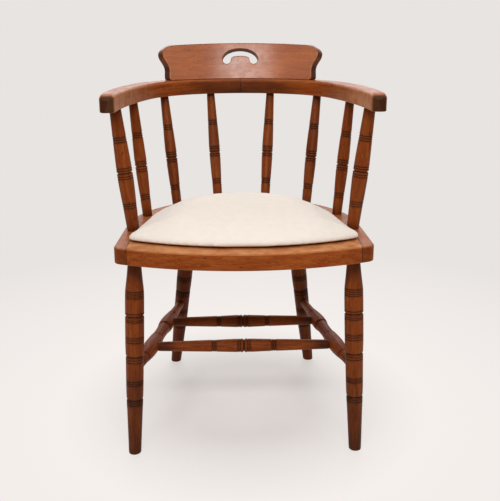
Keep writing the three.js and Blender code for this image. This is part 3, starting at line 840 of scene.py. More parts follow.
def hand_hole_outline():
    """An arch over a rounded tongue, as (across, up) from the foot of the crest rail."""
    crest = bpy.context.scene.chair_crest
    lobe = (crest.hole_half_width - crest.tongue_half_width) / 2
    lobe_x = crest.hole_half_width - lobe

    def arc(x, width, height, start, end, steps, fullness=1.0):
        points = []
        for angle in np.linspace(start, end, steps):
            across, up = math.cos(angle), math.sin(angle)
            across = math.copysign(abs(across) ** fullness, across)
            up = math.copysign(abs(up) ** fullness, up)
            points.append((x + width * across, crest.hole_height + height * up))
        return points

    over = arc(0, crest.hole_half_width, crest.hole_rise, 0, math.pi, ARCH_POINTS)
    left = arc(-lobe_x, lobe, lobe, math.pi, 2 * math.pi, LOBE_POINTS)[1:-1]
    width, height = crest.tongue_half_width, crest.tongue_rise
    tongue = arc(0, width, height, math.pi, 0, TONGUE_POINTS, TONGUE_FULLNESS)
    right = arc(lobe_x, lobe, lobe, math.pi, 2 * math.pi, LOBE_POINTS)[1:-1]
    return [*over, *left, *tongue, *right]


def make_crest():
    """Shapes the rail as a flat plank with its front up, stands it up and bends it round the sitter."""
    crest = bpy.context.scene.chair_crest
    obj = slab("crest_plank", crest_outline(), -crest.thickness, 0)
    split_across(obj, [0])
    hole = slab("hand_hole", hand_hole_outline(), -2 * crest.thickness, crest.thickness)
    places = points_of(hole.data)
    places[:, 1] += places[:, 2] * math.tan(crest.lean)
    move_points(hole, places)
    cut(obj, hole)

    def sharp(edge):
        return len(edge.link_faces) == 2 and edge.calc_face_angle(0) > SHARP_ANGLE

    rounded(obj, sharp, crest.edge_round, segments=4)
    split_across(obj, np.linspace(-crest.tip_half, crest.tip_half, crest.steps)[1:-1])
    bend_crest(obj)
    editing(obj)
    face_outwards()
    finished_editing()
    holes = []
    for side in SIDES:
        for i in (1, 2):
            holes += screw_holes(f"crest_screw_{side}_{i}")
    cut(obj, joined(holes))
    dull = mark_crest(obj)
    smooth_flats(obj)
    fitted(obj, ["crest_rail"], wood(polished=True))
    obj.data.materials.append(wood())
    obj.data.polygons.foreach_set("material_index", dull.astype(np.int32))


# The rail's ends start to lean in at this share of half its foot's length
LEAN_START = 0.94
# Where the cuts through the rail stop being parallel, in half widths of the hand hole, and over
# how many more they become square to the bend
PARALLEL_END = 2.8
PARALLEL_FADE = 1.4


def bend_crest(obj):
    """Puts the flat plank where it belongs. The walls of the hand hole stay parallel, as cut with a
    saw from the front. The ends are square to the bend at the foot, and lean in behind at the tips."""
    crest = bpy.context.scene.chair_crest
    along, up, depth = points_of(obj.data).T * np.array([[1], [1], [-1]])
    start = LEAN_START * crest.foot_half
    tip = np.clip((np.abs(along) - start) / (crest.tip_half - start), 0, 1)
    up = up - tip * depth * crest.tip_fall
    parallel = np.clip((PARALLEL_END - np.abs(along) / crest.hole_half_width) / PARALLEL_FADE, 0, 1)
    straight = parallel + tip * crest.tip_turn
    angle = along / crest.front_radius * (1 - straight * depth / (crest.front_radius + depth))
    radius = crest.front_radius + depth
    x = radius * np.sin(angle)
    y = FEET_Y + crest.front_y + radius * np.cos(angle) - crest.front_radius + up * math.tan(crest.lean)
    move_points(obj, np.column_stack([x, y, CREST_FOOT + up]))


# How dark the hole's walls and the top edge are, and how steeply stain fades off the end grain
HOLE_STAIN = 0.9
TOP_SHADE = 0.5
END_STAIN_FADE = 5
# The share of an edge's paleness, partly worn and partly painted highlight, that shows on top,
# at the ends and elsewhere
TOP_WEAR_AND_HIGHLIGHT = 0.2
END_WEAR_AND_HIGHLIGHT = 1.9
OTHER_WEAR_AND_HIGHLIGHT = 0.9
# How squarely a face looks to the front or the back: less on a wall of the hand hole, and more
# where it is polished
WALL_FLATNESS = 0.6
POLISHED_FLATNESS = 0.93
# How far upwards a face looks that counts as the top, for its pale edges and for its shade
TOP_WEAR_AND_HIGHLIGHT_RISE = 0.5
TOP_SHADE_RISE = 0.6
# The ends, which wear more, start at this share of half the rail's foot
ENDS_FROM = 0.9


def mark_crest(obj):
    """Stores the crest rail's grain, its dark ends, hole and top, and its pale edges, partly worn and
    partly painted highlight. Gives the faces that are left unpolished."""
    crest = bpy.context.scene.chair_crest
    faces = obj.data.polygons
    around = Vector((0, FEET_Y + crest.front_y - crest.front_radius, CREST_FOOT))

    def from_bend(place):
        out = place - around
        return Vector((out.x, out.y - out.z * math.tan(crest.lean), 0))

    def tangent(place):
        out = from_bend(place).normalized()
        return Vector((out.y, -out.x, 0))

    def face_at(place):
        return from_bend(place).normalized() * math.cos(crest.lean) - Vector((0, 0, math.sin(crest.lean)))

    def flatness(face):
        return abs(face.normal.dot(face_at(face.center)))

    def in_hole(face):
        up = face.center.z - CREST_FOOT
        near = abs(face.center.x) < crest.hole_half_width + 1 * MM
        level = crest.height / 3 < up < crest.hole_height + crest.hole_rise + 4 * MM
        return near and level and flatness(face) < WALL_FLATNESS

    def kept(face):
        if face.normal.z > TOP_WEAR_AND_HIGHLIGHT_RISE:
            return TOP_WEAR_AND_HIGHLIGHT
        return END_WEAR_AND_HIGHLIGHT if abs(face.center.x) > ENDS_FROM * crest.foot_half else OTHER_WEAR_AND_HIGHLIGHT

    points = points_of(obj.data)
    bends = [from_bend(Vector(place)) for place in points]
    out = np.array([bend.length for bend in bends])
    along = np.array([math.atan2(bend.x, bend.y) * crest.front_radius for bend in bends])
    store(obj, "grain", np.column_stack([out, points[:, 2], along]) + board(3))
    walls = np.array([in_hole(face) for face in faces])
    stained = np.maximum(end_grain(obj, tangent) ** END_STAIN_FADE, HOLE_STAIN * walls)
    store(obj, "stain", stained, "FACE")
    top = np.array([face.normal.z > TOP_SHADE_RISE for face in faces])
    store(obj, "shade", TOP_SHADE * top, "FACE")
    worn_and_lit_edges(obj, face_at, kept=kept)
    return np.array([flatness(face) < POLISHED_FLATNESS for face in faces])


# Seat frame

# Points of the seat's outline: round its back, round a corner and along its front
BACK_POINTS = 73
CORNER_POINTS = 9
FRONT_POINTS = 33


def seat_outline(arc_y, back_radius, half_width, front_y, front_radius, corner, offset=0.0):
    """A round back, straight sides that touch it, two round corners and a bowed front."""
    round_radius, half, front = back_radius + offset, half_width + offset, front_radius + offset
    back_centre = Vector((0, FEET_Y + arc_y))
    front_centre = Vector((0, FEET_Y + front_y + front_radius))

    def front_at(x):
        return front_centre.y - math.sqrt(front**2 - x**2)

    side_end = Vector((half, front_at(half) + corner))
    to_end = side_end - back_centre
    tangent = math.atan2(to_end.y, to_end.x) + math.acos(round_radius / to_end.length)
    back = [
        back_centre + Vector((math.cos(angle), math.sin(angle))) * round_radius
        for angle in np.linspace(tangent, math.pi - tangent, BACK_POINTS)
    ]
    front_half = half - corner
    turn = [Vector((front_half, front_at(front_half))), Vector((half, front_at(half))), side_end]
    right = [
        turn[0] * (1 - share) ** 2 + turn[1] * 2 * share * (1 - share) + turn[2] * share**2
        for share in np.linspace(0, 1, CORNER_POINTS)
    ]
    left = [Vector((-point.x, point.y)) for point in right[::-1]]
    bowed = [Vector((x, front_at(x))) for x in np.linspace(-front_half, front_half, FRONT_POINTS)[1:-1]]
    return [*back, *left, *bowed, *right]


def frame_outline(offset=0.0):
    seat = bpy.context.scene.chair_seat
    arc = seat.arc_y, seat.back_radius
    return seat_outline(*arc, seat.half_width, seat.front_y, seat.front_radius, seat.corner, offset)


def pad_outline(offset=0.0):
    seat = bpy.context.scene.chair_seat
    return seat_outline(
        seat.arc_y + seat.pad_shift,
        seat.back_radius - seat.back_margin,
        seat.half_width - seat.side_margin,
        seat.front_y + seat.front_margin,
        seat.pad_front_radius,
        seat.corner,
        offset,
    )


def corner_block(clearance):
    """The space of the front rail, between the ends of the side rails."""
    seat = bpy.context.scene.chair_seat
    half = seat.half_width - seat.side_rail_end + clearance
    back = FEET_Y + seat.joint_y + clearance
    low = (-half, SEAT_FRONT_Y - OVERRUN, SEAT_UNDERSIDE - OVERRUN)
    return box_between(low, (half, back, SEAT_TOP + OVERRUN))


def back_wedge(clearance):
    """The space of the back rail, between two planes through the middle of the round back."""
    seat = bpy.context.scene.chair_seat
    tip = Vector((0, FEET_Y + seat.arc_y - clearance / math.sin(seat.joint_angle)))
    right = tip + Vector((math.sin(seat.joint_angle), math.cos(seat.joint_angle))) * 2 * seat.back_radius
    left = Vector((-right.x, right.y))
    far = tip + Vector((0, 4 * seat.back_radius))
    return slab("back_wedge", [tip, right, far, left], SEAT_UNDERSIDE - OVERRUN, SEAT_TOP + OVERRUN)


def seat_holes():
    """Cutters for all that stands or turns in the seat frame."""
    turning = bpy.context.scene.chair_turning
    holes = []
    for side in SIDES:
        for kind in SPINDLE_KINDS:
            foot, head = axis_of(f"{kind}_{side}")
            holes.append(socket(foot, head, turning.spindle_tenon, turning.spindle_tenon_radius))
        for end in ("front", "rear"):
            foot, head = leg_axis(f"leg_{end}_{side}")
            holes.append(socket(head, foot, turning.leg_tenon, turning.leg_tenon_radius))
        for i in (1, 2, 3):
            holes += screw_holes(f"seat_screw_{side}_{i}")
    return joined(holes)


def make_seat_frame():
    seat = bpy.context.scene.chair_seat
    blank = slab("seat_blank", frame_outline(), SEAT_UNDERSIDE, SEAT_TOP)
    rounded(blank, at_height(SEAT_TOP), seat.edge_round, segments=5)
    rounded(blank, at_height(SEAT_UNDERSIDE), seat.under_round, segments=3)
    ledge_top = SEAT_TOP - seat.rebate_depth
    cut(blank, slab("opening", pad_outline(seat.pad_gap - seat.ledge), SEAT_UNDERSIDE - OVERRUN, SEAT_TOP))
    cut(blank, slab("rebate", pad_outline(seat.pad_gap), ledge_top, SEAT_TOP + OVERRUN))
    cut(blank, seat_holes())
    front = copied(blank, "front_rail")
    cut(front, corner_block(-GAP / 2), "INTERSECT")
    back = copied(blank, "back_rail")
    cut(back, back_wedge(-GAP / 2), "INTERSECT")
    sides = blank
    cut(sides, corner_block(GAP / 2))
    cut(sides, back_wedge(GAP / 2))
    rails = [(front, "seat_front_rail", 0), (back, "seat_back_rail", 1)]
    wide = 2 * seat.half_width
    for i, (side, sign) in enumerate(SIDES.items()):
        rail = copied(sides, f"side_rail_{side}")
        low = Vector((min(0, sign * wide), -wide, 0))
        cut(rail, box_between(low, (max(0, sign * wide), wide, 1)), "INTERSECT")
        rails.append((rail, f"seat_side_rail_{side}", 2 + i))
    bpy.data.objects.remove(sides)
    for rail, node, seed in rails:
        mark_rail(rail, node, seed)
        smooth_flats(rail)
        fitted(rail, [node], wood())


# How dark the rails' end grain is and how steeply that fades, and how pale the tops of the other
# rails are beside the front one's, partly worn and partly painted sheen
RAIL_END_STAIN = 0.6
RAIL_STAIN_FADE = 4
OTHER_RAILS_WEAR_AND_SHEEN = 0.25
# A face that looks at least this far upwards is the rail's top
RAIL_TOP_RISE = 0.9


def mark_rail(rail, node, seed):
    """The side rails' grain runs from front to back, and that of the others from side to side."""
    seat = bpy.context.scene.chair_seat
    points = points_of(rail.data)
    x, y = points[:, 0], points[:, 1]
    joint_x = seat.half_width - seat.side_rail_end
    to_plane = (y - FEET_Y - seat.arc_y) * math.sin(seat.joint_angle)
    past_left = to_plane + x * math.cos(seat.joint_angle)
    past_right = to_plane - x * math.cos(seat.joint_angle)
    far = np.ones(len(points))
    direction, order = Vector((1, 0, 0)), [1, 2, 0]
    if "side" in node:
        direction, order = Vector((0, 1, 0)), [0, 2, 1]
        joints = [np.abs(x) - joint_x, past_right if x.mean() > 0 else past_left, far]
    elif "back" in node:
        joints = [past_left, past_right, far]
    else:
        joints = [x - joint_x, x + joint_x, y - FEET_Y - seat.joint_y]
    store(rail, "grain", points[:, order] + board(seed + 3))
    store(rail, "joints", 1 + np.column_stack(joints))
    stained = RAIL_END_STAIN * end_grain(rail, lambda place: direction) ** RAIL_STAIN_FADE
    store(rail, "stain", stained, "FACE")
    # The tops are painted paler, the front one most: partly worn by sitters, partly painted sheen
    sat_on_and_lit = seat.front_wear if "front" in node else OTHER_RAILS_WEAR_AND_SHEEN * seat.front_wear
    worn_and_lit_edges(rail, rubbed=lambda face: sat_on_and_lit * (face.normal.z > RAIL_TOP_RISE))


# Seat pad

# Rings of the pad's outline: shares of its height, of the way in to its middle, and of the lip
# that hangs over the front rail
PAD_RING_SHARES = [
    (0.0, 0.006, 0.0), (0.12, 0.004, 0.0), (0.14, -0.018, 1.0), (0.23, -0.02, 1.0), (0.3, -0.016, 0.99),
    (0.37, -0.006, 0.95), (0.46, 0.02, 0.8), (0.57, 0.065, 0.6), (0.68, 0.14, 0.4), (0.79, 0.25, 0.2),
    (0.89, 0.4, 0.1), (0.96, 0.62, 0.0), (0.99, 0.82, 0.0),
]


def outside(points, outline):
    """Which points lie outside a closed outline, seen from above."""
    crossed = np.zeros(len(points), bool)
    x, y = points[:, 0], points[:, 1]
    for here, there in zip(outline, [*outline[1:], outline[0]]):
        if here.y == there.y:
            continue
        spans = (here.y > y) != (there.y > y)
        crossed ^= spans & (x < here.x + (y - here.y) * (there.x - here.x) / (there.y - here.y))
    return ~crossed


def make_pad():
    """Raises the pad ring by ring, remeshes it evenly, swells it and lays its lip on the wood."""
    pad = bpy.context.scene.chair_pad
    base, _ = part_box("seat_pad")
    middle = Vector((0, FEET_Y + pad.middle_y, 0))
    height = SEAT_TOP + pad.start_crown - base.z
    obj = flat_face("seat_cushion", pad_outline(-pad.start_inset), base.z)
    length = FEET_Y + pad.middle_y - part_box("seat_pad")[0].y
    wide, deep, forward, raised = 1.0, 1.0, 0.0, 0.0
    for up, inwards, lip in PAD_RING_SHARES:
        step = (0, 0, (up - raised) * height)
        if up:
            bpy.ops.mesh.extrude_region_move(TRANSFORM_OT_translate={"value": step})
        grown = 1 - inwards + lip * pad.lip / (2 * length)
        moved = -lip * pad.lip / 2
        centre = middle + Vector((0, forward, 0))
        bpy.ops.transform.resize(value=((1 - inwards) / wide, grown / deep, 1), center_override=centre)
        bpy.ops.transform.translate(value=(0, moved - forward, 0))
        wide, deep, forward, raised = 1 - inwards, grown, moved, up
    face_outwards()
    finished_editing()
    modify(obj, "REMESH", mode="VOXEL", voxel_size=pad.voxel)
    swell(obj)
    places = points_of(obj.data)
    on_wood = outside(places, pad_outline()) & (places[:, 2] < SEAT_TOP + GAP)
    places[on_wood, 2] = SEAT_TOP + GAP
    move_points(obj, places)
    modify(obj, "SUBSURF", levels=1, render_levels=1)
    only(obj)
    bpy.ops.object.shade_smooth()
    fitted(obj, ["seat_pad"], fabric())


def swell(obj):
    """Blows the pad up a little from within, as its filling does, with its foot held in the rebate."""
    pad = bpy.context.scene.chair_pad
    start = points_of(obj.data)
    held = obj.vertex_groups.new(name="held")
    low = [int(i) for i in np.flatnonzero(start[:, 2] < SEAT_TOP + pad.held_above)]
    held.add(low, 1.0, "REPLACE")
    cloth = obj.modifiers.new("Cloth", "CLOTH")
    settings = cloth.settings
    settings.quality = 6
    settings.mass = 0.3
    settings.tension_stiffness = settings.compression_stiffness = 12
    settings.shear_stiffness = 6
    settings.bending_stiffness = 1.5
    settings.use_pressure = True
    settings.uniform_pressure_force = pad.pressure
    settings.vertex_group_mass = "held"
    settings.effector_weights.gravity = 0
    cloth.collision_settings.use_collision = False
    cloth.collision_settings.use_self_collision = False
    cloth.point_cache.frame_start, cloth.point_cache.frame_end = 1, pad.frames
    scene = bpy.context.scene
    for number in range(1, pad.frames + 1):
        scene.frame_set(number)
    only(obj)
    bpy.ops.object.modifier_apply(modifier=cloth.name)
    scene.frame_set(1)
    moved = points_of(obj.data) - start
    far = np.linalg.norm(moved, axis=1)
    free = np.clip((start[:, 2] - SEAT_TOP) / pad.tied_height, 0, 1)
    moved *= (free * np.minimum(1, pad.cap / np.maximum(far, 1e-9)))[:, None]
    move_points(obj, start + moved)


# Materials


def dimmed(colour, share):
    return [part * share for part in colour]


class Nodes:
    """The shader tree of a material or a world, built node by node."""

    def __init__(self, owner):
        owner.use_nodes = True
        self.owner = owner
        self.nodes = owner.node_tree.nodes
        self.links = owner.node_tree.links

    def feed(self, socket, value):
        """Links a socket to another, or sets its value."""
        if isinstance(value, bpy.types.NodeSocket):
            self.links.new(value, socket)
        else:
            socket.default_value = value

    def feed_named(self, node, inputs):
        for name, value in inputs.items():
            self.feed(node.inputs[name.replace("_", " ")], value)

    def feed_in_order(self, node, values):
        for socket, value in zip(node.inputs, values):
            self.feed(socket, value)

    def surface(self, **inputs):
        """Feeds the surface shader, and gives the finished material."""
        self.feed_named(self.nodes["Principled BSDF"], inputs)
        return self.owner

    def add(self, kind, settings=None, **inputs):
        made = self.nodes.new(kind)
        for name, value in (settings or {}).items():
            setattr(made, name, value)
        self.feed_named(made, inputs)
        return made

    def maths(self, operation, *values):
        made = self.add("ShaderNodeMath", {"operation": operation})
        self.feed_in_order(made, values)
        return made.outputs[0]

    def weighted(self, *parts):
        """The sum of some values, each times its weight."""
        products = [self.maths("MULTIPLY", value, weight) for value, weight in parts]
        total = products[0]
        for product in products[1:]:
            total = self.maths("ADD", total, product)
        return total

    def vector_maths(self, operation, output, *vectors):
        made = self.add("ShaderNodeVectorMath", {"operation": operation})
        self.feed_in_order(made, vectors)
        return made.outputs[output]

    def apart(self, vector):
        """The three numbers of a vector."""
        return self.add("ShaderNodeSeparateXYZ", Vector=vector).outputs

    def mixed(self, share, first, second, blend="MIX"):
        made = self.add("ShaderNodeMix", {"data_type": "RGBA", "blend_type": blend})
        for name, value in (("Factor_Float", share), ("A_Color", first), ("B_Color", second)):
            socket = next(s for s in made.inputs if s.identifier == name)
            self.feed(socket, value)
        return next(s for s in made.outputs if s.identifier == "Result_Color")

    def ramp(self, value, stops):
        """Colours at places between 0 and 1."""
        made = self.add("ShaderNodeValToRGB", Fac=value)
        line = made.color_ramp
        while len(line.elements) < len(stops):
            line.elements.new(0.5)
        for element, (place, colour) in zip(line.elements, stops):
            element.position = place
            element.color = (*colour, 1)
        return made.outputs["Color"]

    def mapped(self, value, old, new):
        """Maps one range of numbers to another, each given by its two ends."""
        made = self.add("ShaderNodeMapRange")
        self.feed_in_order(made, (value, *old, *new))
        return made.outputs["Result"]

    def stretched(self, vector, shares):
        """Makes a pattern longer along an axis whose share is less than 1."""
        return self.add("ShaderNodeMapping", Vector=vector, Scale=shares).outputs["Vector"]

    def noise(self, vector, scale, detail, roughness, distortion=0.0, stretch=None):
        if stretch:
            vector = self.stretched(vector, stretch)
        inputs = {"Scale": scale, "Detail": detail, "Roughness": roughness, "Distortion": distortion}
        return self.add("ShaderNodeTexNoise", Vector=vector, **inputs).outputs["Fac"]

    def wave(self, vector, kind, direction, profile="SIN", **inputs):
        settings = {"wave_type": kind, f"{kind.lower()}_direction": direction, "wave_profile": profile}
        return self.add("ShaderNodeTexWave", settings, Vector=vector, **inputs).outputs["Fac"]

    def place(self):
        return self.add("ShaderNodeTexCoord").outputs["Object"]

    def attribute(self, name, output="Fac"):
        return self.add("ShaderNodeAttribute", {"attribute_name": name}).outputs[output]

    def bump(self, height, strength, distance):
        made = self.add("ShaderNodeBump", Height=height, Strength=strength, Distance=distance)
        return made.outputs["Normal"]

    def mixed_shaders(self, share, first, second):
        made = self.add("ShaderNodeMixShader")
        self.feed_in_order(made, (share, first, second))
        return made.outputs[0]


def wood(polished=False):
    """Stained hardwood, glossier where it is polished. The polished crest rail is paler too, partly
    its own colour and partly painted sheen. Its grain runs along the Z of the grain attribute."""
    name = "Polished hardwood" if polished else "Stained hardwood"
    if name in bpy.data.materials:
        return bpy.data.materials[name]
    look = bpy.context.scene.chair_wood
    tree = Nodes(bpy.data.materials.new(name))
    grain = tree.attribute("grain", "Vector")
    fibres = tree.noise(grain, scale=420, detail=5, roughness=0.6, stretch=(1, 1, 0.035))
    figure = tree.noise(grain, scale=60, detail=4, roughness=0.55, distortion=1.2, stretch=(1, 1, 0.12))
    rings = {"Scale": 30.0, "Distortion": 6.0, "Detail": 3.0, "Detail_Scale": 8.0}
    growth = tree.wave(tree.stretched(grain, (1, 1, 0.1)), "RINGS", "Z", "SAW", **rings)
    tone = tree.weighted((fibres, 0.4), (figure, 0.42), (growth, 0.18))
    tones = (look.dark, look.middle, look.light)
    # The crest rail's paler colours are partly painted sheen of its polished face
    if polished:
        tones = (look.crest_dark, look.crest_middle, look.crest_light)
    colour = tree.ramp(tone, list(zip((0.26, 0.48, 0.74), tones)))

    # Patches where the stain took more or less
    patches = tree.noise(grain, scale=16, detail=3, roughness=0.5, stretch=(1, 1, 0.5))
    taken = tree.ramp(patches, [(0.3, (0.82, 0.76, 0.72)), (0.66, (1.08, 1.08, 1.08))])
    colour = tree.mixed(1.0, colour, taken, "MULTIPLY")

    # Short dark flecks along the grain, and a few specks
    flecks = tree.noise(grain, scale=1300, detail=2, roughness=0.5, stretch=(1, 1, 0.05))
    flecks = tree.mapped(flecks, (0.6, 0.7), (0.0, 0.55))
    specks = tree.noise(grain, scale=260, detail=2, roughness=0.4, stretch=(1, 1, 0.3))
    specks = tree.mapped(specks, (0.7, 0.75), (0.0, 0.7))
    marks = tree.maths("MAXIMUM", flecks, specks)
    colour = tree.mixed(marks, colour, (*look.stain, 1))

    # Pale on the edges, partly worn and partly painted highlight and sheen; darker where the shade
    # attribute says, partly painted shade and partly the dark layer of hands and polish
    rubbed = tree.mapped(tree.noise(grain, scale=45, detail=3, roughness=0.6), (0.35, 0.6), (0.4, 1.0))
    rubbed = tree.maths("MULTIPLY", rubbed, tree.attribute("wear"))
    colour = tree.mixed(tree.maths("MULTIPLY", rubbed, look.wear), colour, (*look.rubbed, 1))
    # Painted shade on the turned pieces, and the dark layer of hands and polish on the bow
    painted_shade_and_film = tree.noise(grain, scale=30, detail=4, roughness=0.6, stretch=(1, 1, 0.3))
    painted_shade_and_film = tree.mapped(painted_shade_and_film, (0.3, 0.7), (0.7, 1.2))
    shade = tree.maths("MULTIPLY", tree.attribute("shade"), painted_shade_and_film)
    colour = tree.mixed(shade, colour, (*look.painted_shade_and_film, 1))

    # Stain pooled in cuts and end grain, and the lines of the joints. The joints attribute holds
    # distances from the joints' planes plus a metre, so a piece without it shows no line.
    away = tree.vector_maths("SUBTRACT", "Vector", tree.attribute("joints", "Vector"), (1, 1, 1))
    away = tree.apart(tree.vector_maths("ABSOLUTE", "Vector", away))
    nearest = tree.maths("MINIMUM", tree.maths("MINIMUM", away["X"], away["Y"]), away["Z"])
    line = tree.mapped(nearest, (0.3 * MM, look.joint_line), (0.92, 0.0))
    pooled = tree.maths("MULTIPLY", tree.attribute("stain"), 0.88)
    pooled = tree.maths("MAXIMUM", pooled, line)
    colour = tree.mixed(pooled, colour, (*look.stain, 1))

    roughness = look.polish_roughness if polished else look.roughness
    worn = tree.noise(grain, scale=40, detail=4, roughness=0.6)
    height = tree.weighted((fibres, 0.5), (marks, -0.6), (line, -0.8))
    return tree.surface(
        Base_Color=colour,
        Roughness=tree.mapped(worn, (0.3, 0.7), (roughness - 0.06, roughness + 0.08)),
        Specular_IOR_Level=look.polish if polished else look.specular,
        Normal=tree.bump(height, strength=0.4, distance=0.25 * MM),
    )


def fabric():
    """Cream upholstery cloth in a plain weave, with slubs."""
    look = bpy.context.scene.chair_pad
    tree = Nodes(bpy.data.materials.new("Seat fabric"))
    place = tree.place()
    thread = {"Scale": math.pi / (10 * look.thread), "Distortion": 0.6, "Detail": 2.0, "Detail_Scale": 3.0}
    weave = tree.maths("MULTIPLY", *[tree.wave(place, "BANDS", way, **thread) for way in ("X", "Y")])
    slubs = tree.noise(place, scale=900, detail=2, roughness=0.5, stretch=(1, 0.04, 1))
    wander = tree.noise(place, scale=60, detail=2, roughness=0.5)
    shade = tree.ramp(wander, [(0.3, dimmed(look.colour, 0.955)), (0.7, look.colour)])
    dark = tree.maths("MULTIPLY", tree.mapped(weave, (0.0, 0.5), (1.0, 0.0)), 0.16)
    shade = tree.mixed(dark, shade, (*dimmed(look.colour, 0.72), 1))
    thick = tree.mapped(slubs, (0.62, 0.75), (0.0, 0.25))
    shade = tree.mixed(thick, shade, (*dimmed(look.colour, 0.86), 1))
    return tree.surface(
        Base_Color=shade,
        Roughness=0.92,
        Sheen_Weight=0.25,
        Sheen_Roughness=0.5,
        Normal=tree.bump(tree.weighted((weave, 1.0), (slubs, 0.6)), strength=0.5, distance=0.35 * MM),
    )


def plywood():
    """The underside of the seat board: pale birch with a few dark streaks, and plies at its edges."""
    tree = Nodes(bpy.data.materials.new("Plywood"))
    place = tree.place()
    streaks = tree.noise(place, scale=160, detail=5, roughness=0.6, distortion=0.4, stretch=(0.06, 1, 1))
    plies = tree.wave(place, "BANDS", "Z", Scale=180.0, Distortion=0.4)
    colour = tree.ramp(streaks, [(0.3, (0.42, 0.27, 0.14)), (0.65, (0.62, 0.44, 0.26))])
    up = tree.apart(tree.add("ShaderNodeNewGeometry").outputs["Normal"])["Z"]
    edge = tree.mapped(tree.maths("ABSOLUTE", up), (0.2, 0.6), (0.8, 0.0))
    banded = tree.mixed(plies, (0.3, 0.18, 0.09, 1), (0.6, 0.43, 0.26, 1))
    return tree.surface(
        Base_Color=tree.mixed(edge, colour, banded),
        Roughness=0.7,
        Normal=tree.bump(streaks, strength=0.3, distance=0.3 * MM),
    )


def beech():
    """Pale dowel wood with short flecks."""
    tree = Nodes(bpy.data.materials.new("Beech"))
    flecks = tree.noise(tree.place(), scale=900, detail=3, roughness=0.6, stretch=(0.15, 1, 1))
    colour = tree.ramp(flecks, [(0.35, (0.4, 0.22, 0.11)), (0.55, (0.58, 0.36, 0.2))])
    return tree.surface(Base_Color=colour, Roughness=0.6)


def steel():
    """Dull screw steel with fine scratches."""
    tree = Nodes(bpy.data.materials.new("Screw steel"))
    scratches = tree.noise(tree.place(), scale=1500, detail=3, roughness=0.6, stretch=(1, 0.1, 1))
    colour = tree.ramp(scratches, [(0.3, (0.2, 0.19, 0.18)), (0.7, (0.42, 0.41, 0.39))])
    roughness = tree.mapped(scratches, (0.3, 0.7), (0.3, 0.5))
    return tree.surface(Base_Color=colour, Metallic=1.0, Roughness=roughness)


# Stage

# Softboxes, which all point at the chair's middle: name, place, size and power
LAMPS = [
    ("Key", (-0.12, -1.75, 2.0), (2.0, 0.5), 30),
    ("Overhead", (0.0, 0.1, 2.6), (2.2, 1.8), 24),
    ("Backdrop light", (0.0, 2.4, 1.7), (2.4, 1.4), 26),
]
LAMP_TARGET = Vector((0, 0, 0.5))
FLOOR_SIZE = 40
# Width in millimetres of the sensor that the camera's focal length belongs to
SENSOR_WIDTH = 36


def make_stage():
    make_floor()
    make_world()
    make_lamps()
    make_camera()
    bpy.context.scene.view_settings.view_transform = "Standard"


def make_floor():
    """A pale floor that fades into the backdrop, for the camera and for reflections only."""
    stage = bpy.context.scene.chair_stage
    bpy.ops.object.select_all(action="DESELECT")
    bpy.ops.mesh.primitive_plane_add(size=FLOOR_SIZE)
    floor = named("studio_floor")
    tree = Nodes(bpy.data.materials.new("Studio floor"))
    place = tree.place()
    far = tree.vector_maths("LENGTH", "Value", place)
    ray = tree.add("ShaderNodeLightPath").outputs
    seen = tree.maths("MAXIMUM", ray["Is Camera Ray"], ray["Is Glossy Ray"])
    fade = tree.mapped(far, (stage.fade_start, stage.fade_end), (stage.fade_least, 1.0))
    cloudy = tree.noise(place, scale=3, detail=3, roughness=0.5)
    pale = tree.ramp(cloudy, [(0.3, dimmed(stage.floor, 0.985)), (0.7, stage.floor)])
    floor.data.materials.append(tree.surface(Base_Color=pale, Roughness=0.6))
    reach = tree.mapped(far, (stage.fade_end, 3 * stage.fade_end), (0.0, 1.0))
    shown = tree.mixed(reach, (*stage.near_floor, 1), (*stage.backdrop, 1))
    glow = tree.add("ShaderNodeEmission", Color=shown, Strength=1.0).outputs["Emission"]
    lit = tree.nodes["Principled BSDF"].outputs["BSDF"]
    mix = tree.mixed_shaders(tree.maths("MULTIPLY", fade, seen), lit, glow)
    tree.feed(tree.nodes["Material Output"].inputs["Surface"], mix)


def staged(name, data):
    """Puts a lamp or a camera into the scene."""
    obj = bpy.data.objects.new(name, data)
    bpy.context.scene.collection.objects.link(obj)
    return obj


def make_lamps():
    for name, place, size, power in LAMPS:
        lamp = bpy.data.lights.new(name, "AREA")
        lamp.shape = "RECTANGLE"
        lamp.size, lamp.size_y = size
        lamp.energy = power
        obj = staged(name, lamp)
        obj.location = place
        obj.rotation_euler = (LAMP_TARGET - Vector(place)).to_track_quat("-Z", "Y").to_euler()
        obj.visible_camera = False


def make_world():
    """Even light from all sides, with the backdrop's plain colour for the camera."""
    stage = bpy.context.scene.chair_stage
    world = bpy.data.worlds.new("Studio")
    bpy.context.scene.world = world
    tree = Nodes(world)
    room = tree.nodes["Background"]
    tree.feed_named(room, {"Color": (*stage.room, 1), "Strength": stage.room_strength})
    shown = tree.add("ShaderNodeBackground", Color=(*stage.backdrop, 1))
    ray = tree.add("ShaderNodeLightPath").outputs
    seen = tree.maths("MAXIMUM", ray["Is Camera Ray"], ray["Is Glossy Ray"])
    seen = tree.maths("MAXIMUM", seen, ray["Is Transmission Ray"])
    mix = tree.mixed_shaders(seen, room.outputs[0], shown.outputs[0])
    tree.feed(tree.nodes["World Output"].inputs["Surface"], mix)


